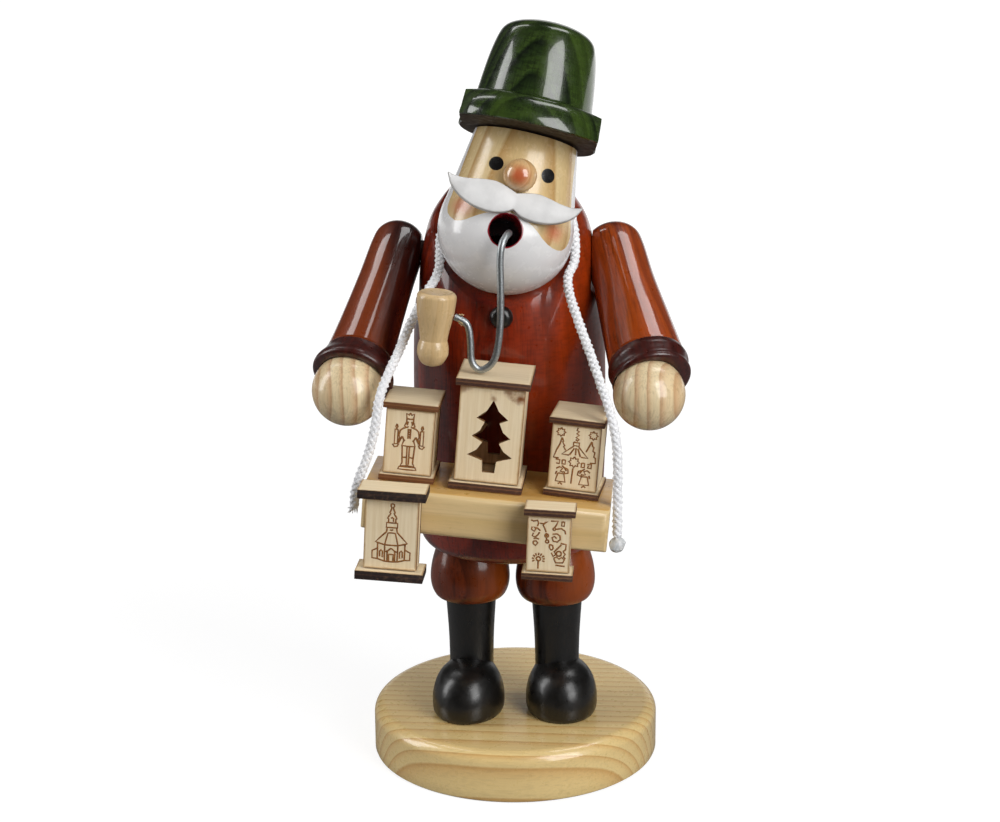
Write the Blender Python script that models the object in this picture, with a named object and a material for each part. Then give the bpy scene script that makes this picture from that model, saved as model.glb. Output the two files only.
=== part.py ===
"""Wooden smoker figure: a bearded lantern seller with a tray, a pipe and a visored hat.

Sizes are in millimetres and become metres when a mesh is made. +Z is up, and the figure faces -Y.
The origin is the centre of the base's underside.
"""

from math import asin, atan, cos, degrees, pi, radians, sin

import bmesh
import bpy
from mathutils import Matrix, Vector

MM = 0.001
SEAT_GAP = 0.3

# Base and where the figure stands on it
BASE_RADIUS = 45.0
BASE_HEIGHT = 16.0
BASE_TOP_ROUND = 3.8
BASE_FOOT_BEVEL = 0.8
FIGURE_X = -0.7
FIGURE_Y = -5.0

# Legs
LEG_X = {"left": -12.8, "right": 13.9}
BOOT_X = {"left": -12.6, "right": 14.4}
SHOE_X = {"left": -13.1, "right": 16.0}
SHOE_FORWARD = {"left": 6.3, "right": 3.6}
SHOE_HALF_WIDTH = 11.2
SHOE_HALF_LENGTH = 14.0
SHOE_HEIGHT = 15.3
SHOE_TOE_OUT = 7.0
SHAFT_ANKLE_RADIUS = 6.6
SHAFT_TOP_RADIUS = 7.8
SHAFT_SINK = 10.0
SHAFT_TOP_Z = 51.7
BREECHES_RADIUS = 12.4
BREECHES_HEIGHT = 18.8

# Coat: a lower part with the dish, and an upper part that lifts off it
COAT_RADIUS = 29.2
COAT_HEM_RADIUS = 28.5
COAT_SPLIT_Z = 86.0
COAT_TOP_Z = 188.2
COAT_SIDE = ((0.0, 86.0), (0.1, 58.0), (0.85, 42.5), (2.8, 28.0), (5.4, 16.8), (9.2, 10.0), (13.6, 5.4), (20.7, 1.3))
SPIGOT_RADIUS = 20.0
SPIGOT_HEIGHT = 4.3
SPIGOT_CLEARANCE = 0.3
CHAMBER_RADIUS = 17.0
CHAMBER_HEIGHT = 46.0
SMOKE_BORE_RADIUS = 3.5
SMOKE_BORE_LOW = (0.0, -8.0, 122.0)
SMOKE_BORE_HIGH = (-0.9, -21.3, 170.5)
AIR_HOLE_RADIUS = 3.5
AIR_HOLE_ABOVE_SPLIT = 12.0

# Dish for the incense cone
DISH_RADIUS = 13.0
DISH_HEIGHT = 2.7
DISH_WALL = 0.8
TACK_RADIUS = 1.8
TACK_HEIGHT = 1.1

# Sloping seat on which the head is glued
NECK_SLOPE = 50.0
NECK_FRONT_Y = -27.0
NECK_FRONT_Z = 152.0

# Head, hat and face, in the head's own frame: w runs up its axis, the face looks along -v
HEAD_CENTRE = (0.95, -24.0, 172.2)
HEAD_LEAN_BACK = 17.0
HEAD_TILT = 14.0
HEAD_TURN = 5.5
BEARD_RADIUS = 19.6
BEARD_DROP = 17.9
CHEEK_RADIUS = 19.15
CHEEK_W = 4.5
HEAD_TOP_RADIUS = 15.2
HEAD_TOP = 27.2
MOUTH_RADIUS = 4.6
MOUTH_DEPTH = 23.5
MOUTH_U = -1.15
MOUTH_W = -1.7
NOSE_RADIUS = 4.75
NOSE_U = -0.6
NOSE_W = 14.2
NOSE_STAND = 1.6
HAT_CROWN_RADIUS = 17.3
HAT_BRIM_THICKNESS = 7.0
HAT_CROWN_HEIGHT = 26.8
HAT_TILT = 0.4
HAT_VISOR_RADIUS = 26.9
HAT_VISOR_CORNER = {"left": 20.3, "right": 18.7}
HAT_REAR_RADIUS = 20.2
HAT_REAR_START = -12.0
HAT_BRIM_BEVEL = 0.7
MOUSTACHE_THICKNESS = 2.0
MOUSTACHE_TURN = 2.0
MOUSTACHE_U = -0.7

# Button on the chest
BUTTON_RADIUS = 3.4
BUTTON_HEIGHT = 2.4
BUTTON_Z = 148.0

# Arms, turned about their own axis; s runs from the shoulder pivot to the hand
SHOULDER_X = {"left": COAT_RADIUS + 4.6, "right": COAT_RADIUS + 2.6}
SHOULDER_Z = 162.0
SHOULDER_FACE_X = COAT_RADIUS - 2.9
SHOULDER_FACE_RADIUS = 14.5
HAND_CENTRE = (43.1, -43.0, 129.6)
HAND_RADIUS = 10.3
ARM_SHOULDER_RADIUS = 8.3
ARM_WRIST_RADIUS = 9.9
CUFF_RADIUS = 11.4
CUFF_LENGTH = 8.2
CUFF_FACE_TO_HAND = 4.4
DOWEL_RADIUS = 3.0
DOWEL_CLEARANCE = 0.1
DOWEL_IN_BODY = 6.0
DOWEL_IN_ARM = 7.5

# Tray, hung a little lower at its right end
TRAY_WIDTH = 70.0
TRAY_DEPTH = 31.5
TRAY_THICKNESS = 12.6
TRAY_EDGE_ROUND = 2.4
TRAY_CENTRE_X = -2.6
TRAY_CENTRE_Z = 96.85
TRAY_TILT = 5.0
TRAY_DOWEL_RADIUS = 2.0
TRAY_DOWEL_IN_BODY = 8.0
TRAY_DOWEL_IN_TRAY = 8.0

# Lanterns: plan size is that of the roof and floor plates, and the walls stand back by the overhang
WALL_SHEET = 1.5
LANTERNS = {
    "middle": dict(u=-0.95, v=1.7, width=21.0, depth=22.5, walls=27.8, plate=2.0, overhang=1.35, turn=0.0),
    "left": dict(u=-23.7, v=1.3, width=15.8, depth=18.3, walls=19.0, plate=1.7, overhang=0.95, turn=0.0),
    "right": dict(u=24.1, v=2.0, width=15.8, depth=18.3, walls=19.0, plate=1.7, overhang=0.95, turn=-5.0),
}
FRONT_LANTERNS = {
    "front_left": dict(u=-25.1, top=9.1, width=19.2, depth=9.9, walls=20.5, plate=2.6, overhang=2.1, tilt=1.6),
    "front_right": dict(u=18.9, top=8.0, width=14.3, depth=8.6, walls=16.2, plate=1.9, overhang=1.1, tilt=2.3),
}
TREE_HALF = ((0.0, 10.4), (1.7, 7.2), (4.5, 4.9), (2.1, 3.8), (3.3, 1.2), (5.5, -0.5), (2.4, -2.1),
             (3.8, -4.4), (6.4, -6.1), (2.0, -7.5), (1.75, -10.9))
TREE_SHIFT = 0.5

# Pipe
PIPE_WIRE_RADIUS = 1.0
PIPE_PLANE_Y = -49.0
PIPE_SOCKET = (0.05, 7.4, -2.1)
PIPE_LIP = (0.05, -17.2, -2.1)
PIPE_SOCKET_CLEARANCE = 0.1
PIPE_WIRE_ROUTE = ((3.4, -45.4, 175.8), (2.4, -47.8, 174.4), (1.8, -48.8, 172.2), (1.5, -49.0, 168.2),
                   (1.6, -49.0, 162.0), (1.5, -49.0, 152.8), (1.0, -49.0, 146.6), (0.1, -49.0, 141.8),
                   (-1.5, -49.0, 139.0), (-4.0, -49.0, 137.6), (-5.9, -49.0, 138.6), (-6.9, -49.0, 141.2),
                   (-7.0, -49.0, 145.0), (-7.3, -49.0, 148.7), (-8.3, -49.0, 151.2), (-11.4, -49.0, 152.9))
PIPE_BOWL_FOOT = (-18.1, 138.4)
PIPE_BOWL_LEAN = 5.0
PIPE_BOWL_HEIGHT = 20.8
PIPE_BOWL_RADIUS = 5.6
PIPE_BALL_RADIUS = 4.45
PIPE_NECK_RADIUS = 3.85
PIPE_HOLE_CLEARANCE = 0.3
PIPE_WIRE_POINTS = 78

# Cord round the neck, from the tray's left end to its right end
CORD_RADIUS = 1.6
CORD_ROUTE = ((-39.9, -57.0, 99.0), (-39.6, -57.2, 103.0), (-38.3, -57.4, 107.6), (-36.1, -57.2, 113.0),
              (-34.3, -56.9, 119.0), (-33.2, -56.1, 124.6), (-32.5, -54.9, 129.8),
              (-30.9, -51.6, 134.9), (-27.9, -45.6, 141.6), (-24.5, -38.5, 149.6),
              (-20.6, -30.2, 156.8), (-18.6, -25.2, 160.3), (-18.6, -19.2, 164.8),
              (-18.9, -16.0, 168.2), (-17.6, -12.6, 172.4), (-13.8, -8.5, 177.4), (-9.1, -4.8, 181.8),
              (-4.0, -1.8, 185.4), (1.1, 0.0, 187.5), (5.8, 0.4, 188.0), (10.0, -0.5, 186.9),
              (13.5, -2.5, 184.5), (16.3, -5.4, 181.1), (18.5, -9.1, 176.7), (20.2, -13.3, 171.7),
              (20.9, -17.5, 166.7), (20.7, -21.0, 163.0), (19.1, -25.6, 159.4), (19.9, -30.6, 155.5),
              (21.7, -34.9, 151.4), (23.8, -39.0, 146.8), (26.5, -44.0, 141.2), (29.4, -48.8, 134.4),
              (31.6, -52.0, 129.2), (33.1, -54.3, 124.6), (34.2, -55.6, 119.6), (34.7, -56.0, 112.6),
              (34.7, -56.0, 104.4), (34.7, -56.0, 97.0), (34.7, -56.0, 91.5))
CORD_POINTS = 76
BEAD_RADIUS = 2.3


def clear_scene():
    for item in list(bpy.data.objects):
        bpy.data.objects.remove(item, do_unlink=True)


def linear(channel):
    value = channel / 255
    return value / 12.92 if value <= 0.04045 else ((value + 0.055) / 1.055) ** 2.4


def make_material(name, colour, roughness, metallic=0.0):
    material = bpy.data.materials.new(name)
    material.use_nodes = True
    shader = material.node_tree.nodes["Principled BSDF"]
    red, green, blue = (linear(int(colour[i:i + 2], 16)) for i in (0, 2, 4))
    shader.inputs["Base Color"].default_value = (red, green, blue, 1)
    shader.inputs["Roughness"].default_value = roughness
    shader.inputs["Metallic"].default_value = metallic
    return material


WOODS = {
    "pine": ("D8BA82", 0.30),
    "coat_stain": ("7A3014", 0.22),
    "black_lacquer": ("171412", 0.30),
    "green_stain": ("2E4A20", 0.18),
    "flesh_wood": ("E2C79A", 0.25),
    "white_paint": ("EEEBE6", 0.35),
    "pale_wood": ("D9BF93", 0.40),
    "plywood": ("D9C399", 0.55),
    "cord_white": ("EDEAE8", 0.70),
}
METALS = {"steel_wire": ("9EA3A6", 0.30), "tinned_dish": ("C2B48F", 0.35)}


def paint(item, finish):
    """Gives the object a material of its own in one of the named finishes."""
    if finish in METALS:
        colour, roughness = METALS[finish]
        item.data.materials.append(make_material(item.name + "_" + finish, colour, roughness, 1.0))
    else:
        colour, roughness = WOODS[finish]
        item.data.materials.append(make_material(item.name + "_" + finish, colour, roughness))


def make_object(name, bm, place=None, smooth_angle=35.0):
    """Turns a bmesh in millimetres into an object in metres, with its faces pointing out."""
    if place is not None:
        bm.transform(place)
    bmesh.ops.recalc_face_normals(bm, faces=bm.faces)
    if bm.calc_volume(signed=True) < 0:
        bmesh.ops.reverse_faces(bm, faces=bm.faces)
    bm.transform(Matrix.Scale(MM, 4))
    mesh = bpy.data.meshes.new(name)
    bm.to_mesh(mesh)
    bm.free()
    mesh.shade_smooth()
    mesh.set_sharp_from_angle(angle=radians(smooth_angle))
    item = bpy.data.objects.new(name, mesh)
    bpy.context.scene.collection.objects.link(item)
    return item


def make_cutter(name, bm, place=None):
    cutter = make_object(name, bm, place)
    cutter.hide_render = True
    cutter.display_type = "WIRE"
    return cutter


def boolean(item, other, operation):
    modifier = item.modifiers.new(operation.lower(), "BOOLEAN")
    modifier.operation = operation
    modifier.solver = "EXACT"
    modifier.object = other


def smooth_curve(points, per_span, closed=False):
    """Catmull-Rom curve through the points, which may have two or three coordinates."""
    count = len(points)
    spans = count if closed else count - 1
    result = []
    for i in range(spans):
        if closed:
            a, b, c, d = (points[(i + k) % count] for k in (-1, 0, 1, 2))
        else:
            a, b, c, d = points[max(i - 1, 0)], points[i], points[i + 1], points[min(i + 2, count - 1)]
        for k in range(per_span):
            t = k / per_span
            result.append(tuple(
                0.5 * (2 * q + (r - p) * t + (2 * p - 5 * q + 4 * r - s) * t * t
                       + (3 * q - p - 3 * r + s) * t ** 3)
                for p, q, r, s in zip(a, b, c, d)))
    if not closed:
        result.append(tuple(points[-1]))
    return result


def arc(centre, radius, start, end, steps):
    """Points on an arc in the (r, z) plane, from one angle to another in degrees."""
    angles = [radians(start + (end - start) * i / steps) for i in range(steps + 1)]
    return [(centre[0] + radius * cos(a), centre[1] + radius * sin(a)) for a in angles]


def turn(outline, steps, closed=False):
    """A lathe: spins an outline of (radius, height) points about Z."""
    bm = bmesh.new()
    verts = [bm.verts.new((r, 0, z)) for r, z in outline]
    pairs = list(zip(verts, verts[1:]))
    if closed:
        pairs.append((verts[-1], verts[0]))
    edges = [bm.edges.new(pair) for pair in pairs]
    bmesh.ops.spin(bm, geom=verts + edges, cent=(0, 0, 0), axis=(0, 0, 1), angle=2 * pi, steps=steps,
                   use_merge=True, use_duplicate=False)
    bmesh.ops.remove_doubles(bm, verts=bm.verts, dist=1e-5)
    return bm


def extrude_outline(outline, low, high):
    """A flat board: a closed outline of (x, y) points between two heights."""
    bm = bmesh.new()
    face = bm.faces.new([bm.verts.new((x, y, low)) for x, y in outline])
    lifted = bmesh.ops.extrude_face_region(bm, geom=[face])["geom"]
    moved = [v for v in lifted if isinstance(v, bmesh.types.BMVert)]
    bmesh.ops.translate(bm, verts=moved, vec=(0, 0, high - low))
    return bm


def block(size, centre):
    bm = bmesh.new()
    bmesh.ops.create_cube(bm, size=1)
    bmesh.ops.scale(bm, vec=size, verts=bm.verts)
    bmesh.ops.translate(bm, vec=centre, verts=bm.verts)
    return bm


def rod(radius, start, end, steps=24):
    """A round rod between two points."""
    start, end = Vector(start), Vector(end)
    bm = turn([(0, 0), (radius, 0), (radius, (end - start).length), (0, (end - start).length)], steps)
    bm.transform(Matrix.Translation(start) @ (end - start).to_track_quat("Z", "Y").to_matrix().to_4x4())
    return bm


def tube(name, route, radius, points, sides):
    """A cord or a wire: a curve with a round bevel and filled caps."""
    points = int(points)
    fine = [Vector(p) for p in smooth_curve(route, 24)]
    lengths = [0.0]
    for a, b in zip(fine, fine[1:]):
        lengths.append(lengths[-1] + (b - a).length)
    curve = bpy.data.curves.new(name, "CURVE")
    curve.dimensions = "3D"
    curve.bevel_depth = radius * MM
    curve.bevel_resolution = sides
    curve.use_fill_caps = True
    spline = curve.splines.new("POLY")
    spline.points.add(points - 1)
    at = 0
    for i in range(points):
        wanted = lengths[-1] * i / (points - 1)
        while at < len(lengths) - 2 and lengths[at + 1] < wanted:
            at += 1
        share = (wanted - lengths[at]) / (lengths[at + 1] - lengths[at])
        place = fine[at].lerp(fine[at + 1], share) * MM
        spline.points[i].co = (place.x, place.y, place.z, 1)
    item = bpy.data.objects.new(name, curve)
    bpy.context.scene.collection.objects.link(item)
    return item


FIGURE = Matrix.Translation((FIGURE_X, FIGURE_Y, 0))


def carry(item, pivot=None):
    """Puts a piece built in the figure's own place onto the base, with its origin on a pivot if it turns."""
    if pivot is None:
        item.location = Vector((FIGURE_X, FIGURE_Y, 0)) * MM
        return item
    item.data.transform(Matrix.Translation(-Vector(pivot) * MM))
    item.location = (Vector(pivot) + Vector((FIGURE_X, FIGURE_Y, 0))) * MM
    return item


# Base and legs


def build_base():
    rounded = arc((BASE_RADIUS - BASE_TOP_ROUND, BASE_HEIGHT - BASE_TOP_ROUND), BASE_TOP_ROUND, 0, 90, 4)
    outline = [(0, 0), (BASE_RADIUS - BASE_FOOT_BEVEL, 0), (BASE_RADIUS, BASE_FOOT_BEVEL)] + rounded
    outline.append((0, BASE_HEIGHT))
    paint(make_object("base_disc", turn(outline, 60)), "pine")


def build_leg(side, name):
    x = BOOT_X[name]
    floor = BASE_HEIGHT + SEAT_GAP
    sole = SHOE_HALF_WIDTH
    shape = [(sole * 0.83, 0), (sole * 0.95, 0.9), (sole, 3.2), (sole * 0.985, 6.0), (sole * 0.88, 9.4),
             (sole * 0.66, 12.8), (sole * 0.34, 14.7), (0, SHOE_HEIGHT)]
    outline = [(0, 0)] + smooth_curve(shape, 2)
    shoe = turn(outline, 24)
    stretch = Matrix.Diagonal((1, SHOE_HALF_LENGTH / SHOE_HALF_WIDTH, 1, 1))
    toe_out = Matrix.Rotation(radians(side * SHOE_TOE_OUT), 4, "Z")
    place = Matrix.Translation((SHOE_X[name], -SHOE_FORWARD[name], floor)) @ toe_out @ stretch
    shoe = carry(make_object(name + "_shoe", shoe, place))
    paint(shoe, "black_lacquer")

    ankle_z = floor + SHOE_HEIGHT - SHAFT_SINK
    hole = rod(SHAFT_ANKLE_RADIUS + SEAT_GAP, (x, 0, ankle_z - SEAT_GAP), (x, 0, SHAFT_TOP_Z), 24)
    hole = carry(make_cutter(name + "_shoe_hole", hole))
    boolean(shoe, hole, "DIFFERENCE")

    rise = SHAFT_TOP_Z - ankle_z
    side_line = smooth_curve([(SHAFT_ANKLE_RADIUS, SHAFT_SINK), (SHAFT_ANKLE_RADIUS + 0.35, rise * 0.6),
                              (SHAFT_TOP_RADIUS, rise)], 2)
    outline = [(0, 0), (SHAFT_ANKLE_RADIUS, 0)] + side_line + [(0, rise)]
    shaft = make_object(name + "_boot_shaft", turn(outline, 24), Matrix.Translation((x, 0, ankle_z)))
    paint(carry(shaft), "black_lacquer")

    full = BREECHES_RADIUS
    tall = BREECHES_HEIGHT
    shape = [(SHAFT_TOP_RADIUS + 0.1, 0), (full * 0.87, tall * 0.06), (full * 0.97, tall * 0.19),
             (full, tall * 0.37), (full * 0.96, tall * 0.6), (full * 0.87, tall * 0.82), (full * 0.79, tall)]
    outline = [(0, 0)] + smooth_curve(shape, 2) + [(0, BREECHES_HEIGHT)]
    breeches = make_object(name + "_breeches", turn(outline, 28),
                           Matrix.Translation((LEG_X[name], 0, SHAFT_TOP_Z + SEAT_GAP)))
    paint(carry(breeches), "coat_stain")


# Coat


def coat_side(low_z):
    """The coat's turned side above the split, from low_z up to the crown of the shoulders."""
    side = [(COAT_RADIUS - inward, COAT_TOP_Z - down) for inward, down in COAT_SIDE]
    return smooth_curve([(COAT_HEM_RADIUS + 0.05, low_z)] + side + [(0, COAT_TOP_Z)], 2)


def build_lower_body():
    low = SHAFT_TOP_Z + SEAT_GAP + BREECHES_HEIGHT + SEAT_GAP
    top = COAT_SPLIT_Z - SEAT_GAP / 2
    hem = smooth_curve([(COAT_HEM_RADIUS - 4.4, low), (COAT_HEM_RADIUS - 1.9, low + 1.6),
                        (COAT_HEM_RADIUS - 0.7, low + 4.6), (COAT_HEM_RADIUS, top)], 2)
    outline = [(0, low)] + hem + [(SPIGOT_RADIUS, top), (SPIGOT_RADIUS, top + SPIGOT_HEIGHT),
                                  (0, top + SPIGOT_HEIGHT)]
    paint(carry(make_object("lower_body", turn(outline, 48))), "coat_stain")


def dish_floor_z():
    return COAT_SPLIT_Z - SEAT_GAP / 2 + SPIGOT_HEIGHT + SEAT_GAP


def build_dish():
    low = dish_floor_z()
    outline = [(0, low), (DISH_RADIUS - 1.6, low), (DISH_RADIUS, low + DISH_HEIGHT),
               (DISH_RADIUS - DISH_WALL, low + DISH_HEIGHT), (DISH_RADIUS - 2.2, low + DISH_WALL),
               (TACK_RADIUS + 1.2, low + DISH_WALL), (0, low + DISH_WALL)]
    paint(carry(make_object("incense_dish", turn(outline, 40))), "tinned_dish")
    low += DISH_WALL + SEAT_GAP
    outline = [(0, low), (TACK_RADIUS, low), (TACK_RADIUS * 0.75, low + TACK_HEIGHT * 0.7),
               (0, low + TACK_HEIGHT)]
    paint(carry(make_object("dish_tack", turn(outline, 16))), "steel_wire")


def neck_frame():
    """The sloping seat: its Z axis points out of the coat, forward and up."""
    slope = Matrix.Rotation(radians(NECK_SLOPE), 4, "X")
    return Matrix.Translation((0, NECK_FRONT_Y, NECK_FRONT_Z)) @ slope


def chamber_top_z():
    return COAT_SPLIT_Z + CHAMBER_HEIGHT


def build_upper_body():
    low = COAT_SPLIT_Z + SEAT_GAP / 2
    socket = SPIGOT_RADIUS + SPIGOT_CLEARANCE
    step = low + SPIGOT_HEIGHT + SPIGOT_CLEARANCE
    chamber = arc((0, chamber_top_z() - CHAMBER_RADIUS * 0.6), 1, 0, 90, 5)
    dome = [(CHAMBER_RADIUS * (r), chamber_top_z() - CHAMBER_RADIUS * 0.6 + CHAMBER_RADIUS * 0.6
             * (z - chamber_top_z() + CHAMBER_RADIUS * 0.6)) for r, z in chamber]
    outline = coat_side(low)[::-1] + [(socket, low), (socket, step), (CHAMBER_RADIUS, step)] + dome[:-1]
    outline.append((0, chamber_top_z()))
    body = carry(make_object("upper_body", turn(outline, 48)))
    paint(body, "coat_stain")

    cut_size = 120.0
    seat = block((cut_size, cut_size, cut_size), (0, 0, cut_size / 2))
    boolean(body, carry(make_cutter("neck_seat_cut", seat, neck_frame())), "DIFFERENCE")
    bore = rod(SMOKE_BORE_RADIUS, SMOKE_BORE_LOW, SMOKE_BORE_HIGH, 20)
    boolean(body, carry(make_cutter("smoke_bore", bore)), "DIFFERENCE")
    air_z = COAT_SPLIT_Z + AIR_HOLE_ABOVE_SPLIT
    air = rod(AIR_HOLE_RADIUS, (0, CHAMBER_RADIUS - 4, air_z), (0, COAT_RADIUS + 4, air_z), 20)
    boolean(body, carry(make_cutter("air_hole", air)), "DIFFERENCE")
    for side, name in ((-1, "left"), (1, "right")):
        face = rod(SHOULDER_FACE_RADIUS, (side * SHOULDER_FACE_X, 0, SHOULDER_Z),
                   (side * (SHOULDER_FACE_X + 12), 0, SHOULDER_Z), 28)
        boolean(body, carry(make_cutter(name + "_shoulder_face", face)), "DIFFERENCE")
        inner = SHOULDER_FACE_X - DOWEL_IN_BODY - DOWEL_CLEARANCE
        hole = rod(DOWEL_RADIUS + DOWEL_CLEARANCE, (side * inner, 0, SHOULDER_Z),
                   (side * (SHOULDER_FACE_X + 8), 0, SHOULDER_Z), 24)
        boolean(body, carry(make_cutter(name + "_dowel_hole", hole)), "DIFFERENCE")
    start = -COAT_RADIUS + TRAY_DOWEL_IN_BODY + SEAT_GAP
    hole = rod(TRAY_DOWEL_RADIUS + SEAT_GAP, (0, start, TRAY_CENTRE_Z), (0, -COAT_RADIUS - 5, TRAY_CENTRE_Z), 20)
    boolean(body, carry(make_cutter("tray_dowel_hole", hole)), "DIFFERENCE")
    return body


def build_button(coat):
    """A turned half ball, its back hollowed to sit on the round chest."""
    ball = smooth_curve([(BUTTON_RADIUS, 0), (BUTTON_RADIUS * 0.93, BUTTON_HEIGHT * 0.45),
                         (BUTTON_RADIUS * 0.6, BUTTON_HEIGHT * 0.86), (0, BUTTON_HEIGHT)], 2)
    facing = Matrix.Translation((0, -chest_radius(BUTTON_Z), BUTTON_Z)) @ Matrix.Rotation(radians(90), 4, "X")
    button = turn([(0, -1.5), (BUTTON_RADIUS, -1.5)] + ball, 20)
    button = carry(make_object("coat_button", button, facing))
    paint(button, "black_lacquer")
    wall = [(r + SEAT_GAP, z) for r, z in coat_side(COAT_SPLIT_Z) if z < NECK_FRONT_Z + 12]
    chest = turn([(0, wall[0][1])] + wall + [(0, wall[-1][1])], 96)
    boolean(button, carry(make_cutter("button_seat", chest)), "DIFFERENCE")


def chest_radius(z):
    side = coat_side(COAT_SPLIT_Z)
    for (r0, z0), (r1, z1) in zip(side, side[1:]):
        if z0 <= z <= z1:
            return r0 + (r1 - r0) * (z - z0) / (z1 - z0)
    return 0.0


# Head


def head_frame():
    turned = Matrix.Rotation(radians(HEAD_TURN), 4, "Z")
    tilted = Matrix.Rotation(radians(HEAD_TILT), 4, "Y")
    leaned = Matrix.Rotation(radians(-HEAD_LEAN_BACK), 4, "X")
    return Matrix.Translation(HEAD_CENTRE) @ turned @ tilted @ leaned


def head_slope():
    """How far the head's side leans in, from the cheeks up to the hat."""
    return (CHEEK_RADIUS - HEAD_TOP_RADIUS) / (HEAD_TOP - CHEEK_W)


def head_radius(w):
    return CHEEK_RADIUS - head_slope() * (w - CHEEK_W)


def head_outline(extra=0.0):
    """A flattened half ball for the beard, then a slight cone up to the hat."""
    wide, drop = BEARD_RADIUS + extra, BEARD_DROP + extra
    beard = [(wide * r, drop * w) for r, w in arc((0, 0), 1, -90, 0, 8)]
    cheek = [((BEARD_RADIUS + CHEEK_RADIUS) / 2 + 0.15 + extra, CHEEK_W / 2), (CHEEK_RADIUS + extra, CHEEK_W)]
    return [(0, -drop)] + beard[1:] + cheek + [(HEAD_TOP_RADIUS + extra, HEAD_TOP), (0, HEAD_TOP)]


def build_head():
    frame = head_frame()
    head = carry(make_object("head", turn(head_outline(), 40), frame))
    paint(head, "flesh_wood")
    cut_size = 120.0
    below = block((cut_size, cut_size, cut_size), (0, 0, SEAT_GAP - cut_size / 2))
    boolean(head, carry(make_cutter("neck_cut", below, neck_frame())), "DIFFERENCE")
    mouth = rod(MOUTH_RADIUS, (MOUTH_U, -BEARD_RADIUS - 6, MOUTH_W),
                (MOUTH_U, -BEARD_RADIUS + MOUTH_DEPTH, MOUTH_W), 24)
    boolean(head, carry(make_cutter("mouth_hole", mouth, frame)), "DIFFERENCE")
    bore = rod(SMOKE_BORE_RADIUS, SMOKE_BORE_LOW, SMOKE_BORE_HIGH, 20)
    boolean(head, carry(make_cutter("head_smoke_bore", bore)), "DIFFERENCE")
    end, *_, lip = wire_end()
    socket = rod(PIPE_WIRE_RADIUS + PIPE_SOCKET_CLEARANCE, end - (lip - end).normalized() * 0.4, lip, 16)
    boolean(head, carry(make_cutter("wire_socket", socket)), "DIFFERENCE")

    centre = Vector((NOSE_U, -head_radius(NOSE_W) - NOSE_STAND, NOSE_W))
    nose = turn(arc((0, 0), NOSE_RADIUS, -90, 90, 9), 18)
    nose = carry(make_object("nose", nose, frame @ Matrix.Translation(centre)))
    paint(nose, "flesh_wood")
    seat = turn(head_outline(SEAT_GAP), 80)
    boolean(nose, carry(make_cutter("nose_seat", seat, frame)), "DIFFERENCE")


def moustache_outline():
    """Half of the moustache is drawn, upper edge outwards and lower edge back, and then mirrored."""
    upper = smooth_curve([(0, 8.8), (3.0, 9.7), (6.0, 10.2), (9.2, 9.8), (12.6, 9.1), (16.0, 8.9), (19.0, 9.7)], 3)
    lower = smooth_curve([(19.0, 9.7), (17.4, 6.6), (14.6, 4.3), (11.7, 2.95), (8.6, 2.25), (5.3, 2.1),
                          (2.3, 2.7), (0, 4.0)], 3)
    half = upper + lower[1:]
    return half + [(-u, w) for u, w in half[-2:0:-1]]


def build_moustache():
    outline = moustache_outline()
    board = extrude_outline(outline, 0, MOUSTACHE_THICKNESS)
    slope = atan(head_slope())
    stand = head_radius(0) + SEAT_GAP / cos(slope)
    lean = Matrix.Rotation(radians(90) - slope, 4, "X")
    turned = Matrix.Rotation(radians(-MOUSTACHE_TURN), 4, "Z")
    place = head_frame() @ Matrix.Translation((MOUSTACHE_U, -stand, 0)) @ lean @ turned
    moustache = carry(make_object("moustache", board, place))
    paint(moustache, "white_paint")


def build_hat():
    upright = Matrix.Rotation(radians(-HAT_TILT), 4, "Y")
    frame = head_frame() @ Matrix.Translation((0, 0, HEAD_TOP + SEAT_GAP * 2)) @ upright
    r = HAT_CROWN_RADIUS
    h = HAT_CROWN_HEIGHT
    base = HAT_BRIM_THICKNESS
    side = smooth_curve([(r, base - 2), (r, base), (r * 0.975, base + h * 0.17), (r * 0.9, base + h * 0.5),
                         (r * 0.805, base + h * 0.76), (r * 0.68, base + h * 0.9), (r * 0.48, base + h * 0.97),
                         (r * 0.24, base + h * 0.997), (0, base + h)], 2)
    crown = turn([(0, base - 2)] + side, 40)
    hat = make_object("hat", crown, frame)
    paint(hat, "green_stain")
    brim = make_cutter("hat_brim_blank", brim_mesh(), frame)
    boolean(hat, brim, "UNION")
    carry(hat)
    carry(brim)


def brim_mesh():
    """A visor in front with sawn corners, and a narrow round rim behind."""
    left, right = (asin(HAT_VISOR_CORNER[side] / HAT_VISOR_RADIUS) for side in ("left", "right"))
    steps = 14
    front = []
    for i in range(steps + 1):
        a = -left + (left + right) * i / steps
        front.append((HAT_VISOR_RADIUS * sin(a), -HAT_VISOR_RADIUS * cos(a)))
    start = radians(HAT_REAR_START)
    rear = []
    for i in range(29):
        a = start + (pi - 2 * start) * i / 28
        rear.append((HAT_REAR_RADIUS * cos(a), HAT_REAR_RADIUS * sin(a)))
    bm = extrude_outline(front + rear, 0, HAT_BRIM_THICKNESS)
    rims = [e for e in bm.edges if len(e.link_faces) == 2 and e.calc_face_angle() > radians(60)
            and abs(e.verts[0].co.z - e.verts[1].co.z) < 0.1]
    bmesh.ops.bevel(bm, geom=rims, offset=HAT_BRIM_BEVEL, segments=2, profile=0.5, affect="EDGES")
    return bm


# Arms


def arm_frame(side, name):
    pivot = Vector((side * SHOULDER_X[name], 0, SHOULDER_Z))
    hand = Vector((side * HAND_CENTRE[0], HAND_CENTRE[1], HAND_CENTRE[2]))
    axis = hand - pivot
    return pivot, axis.length, Matrix.Translation(pivot) @ axis.to_track_quat("Z", "Y").to_matrix().to_4x4()


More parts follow.
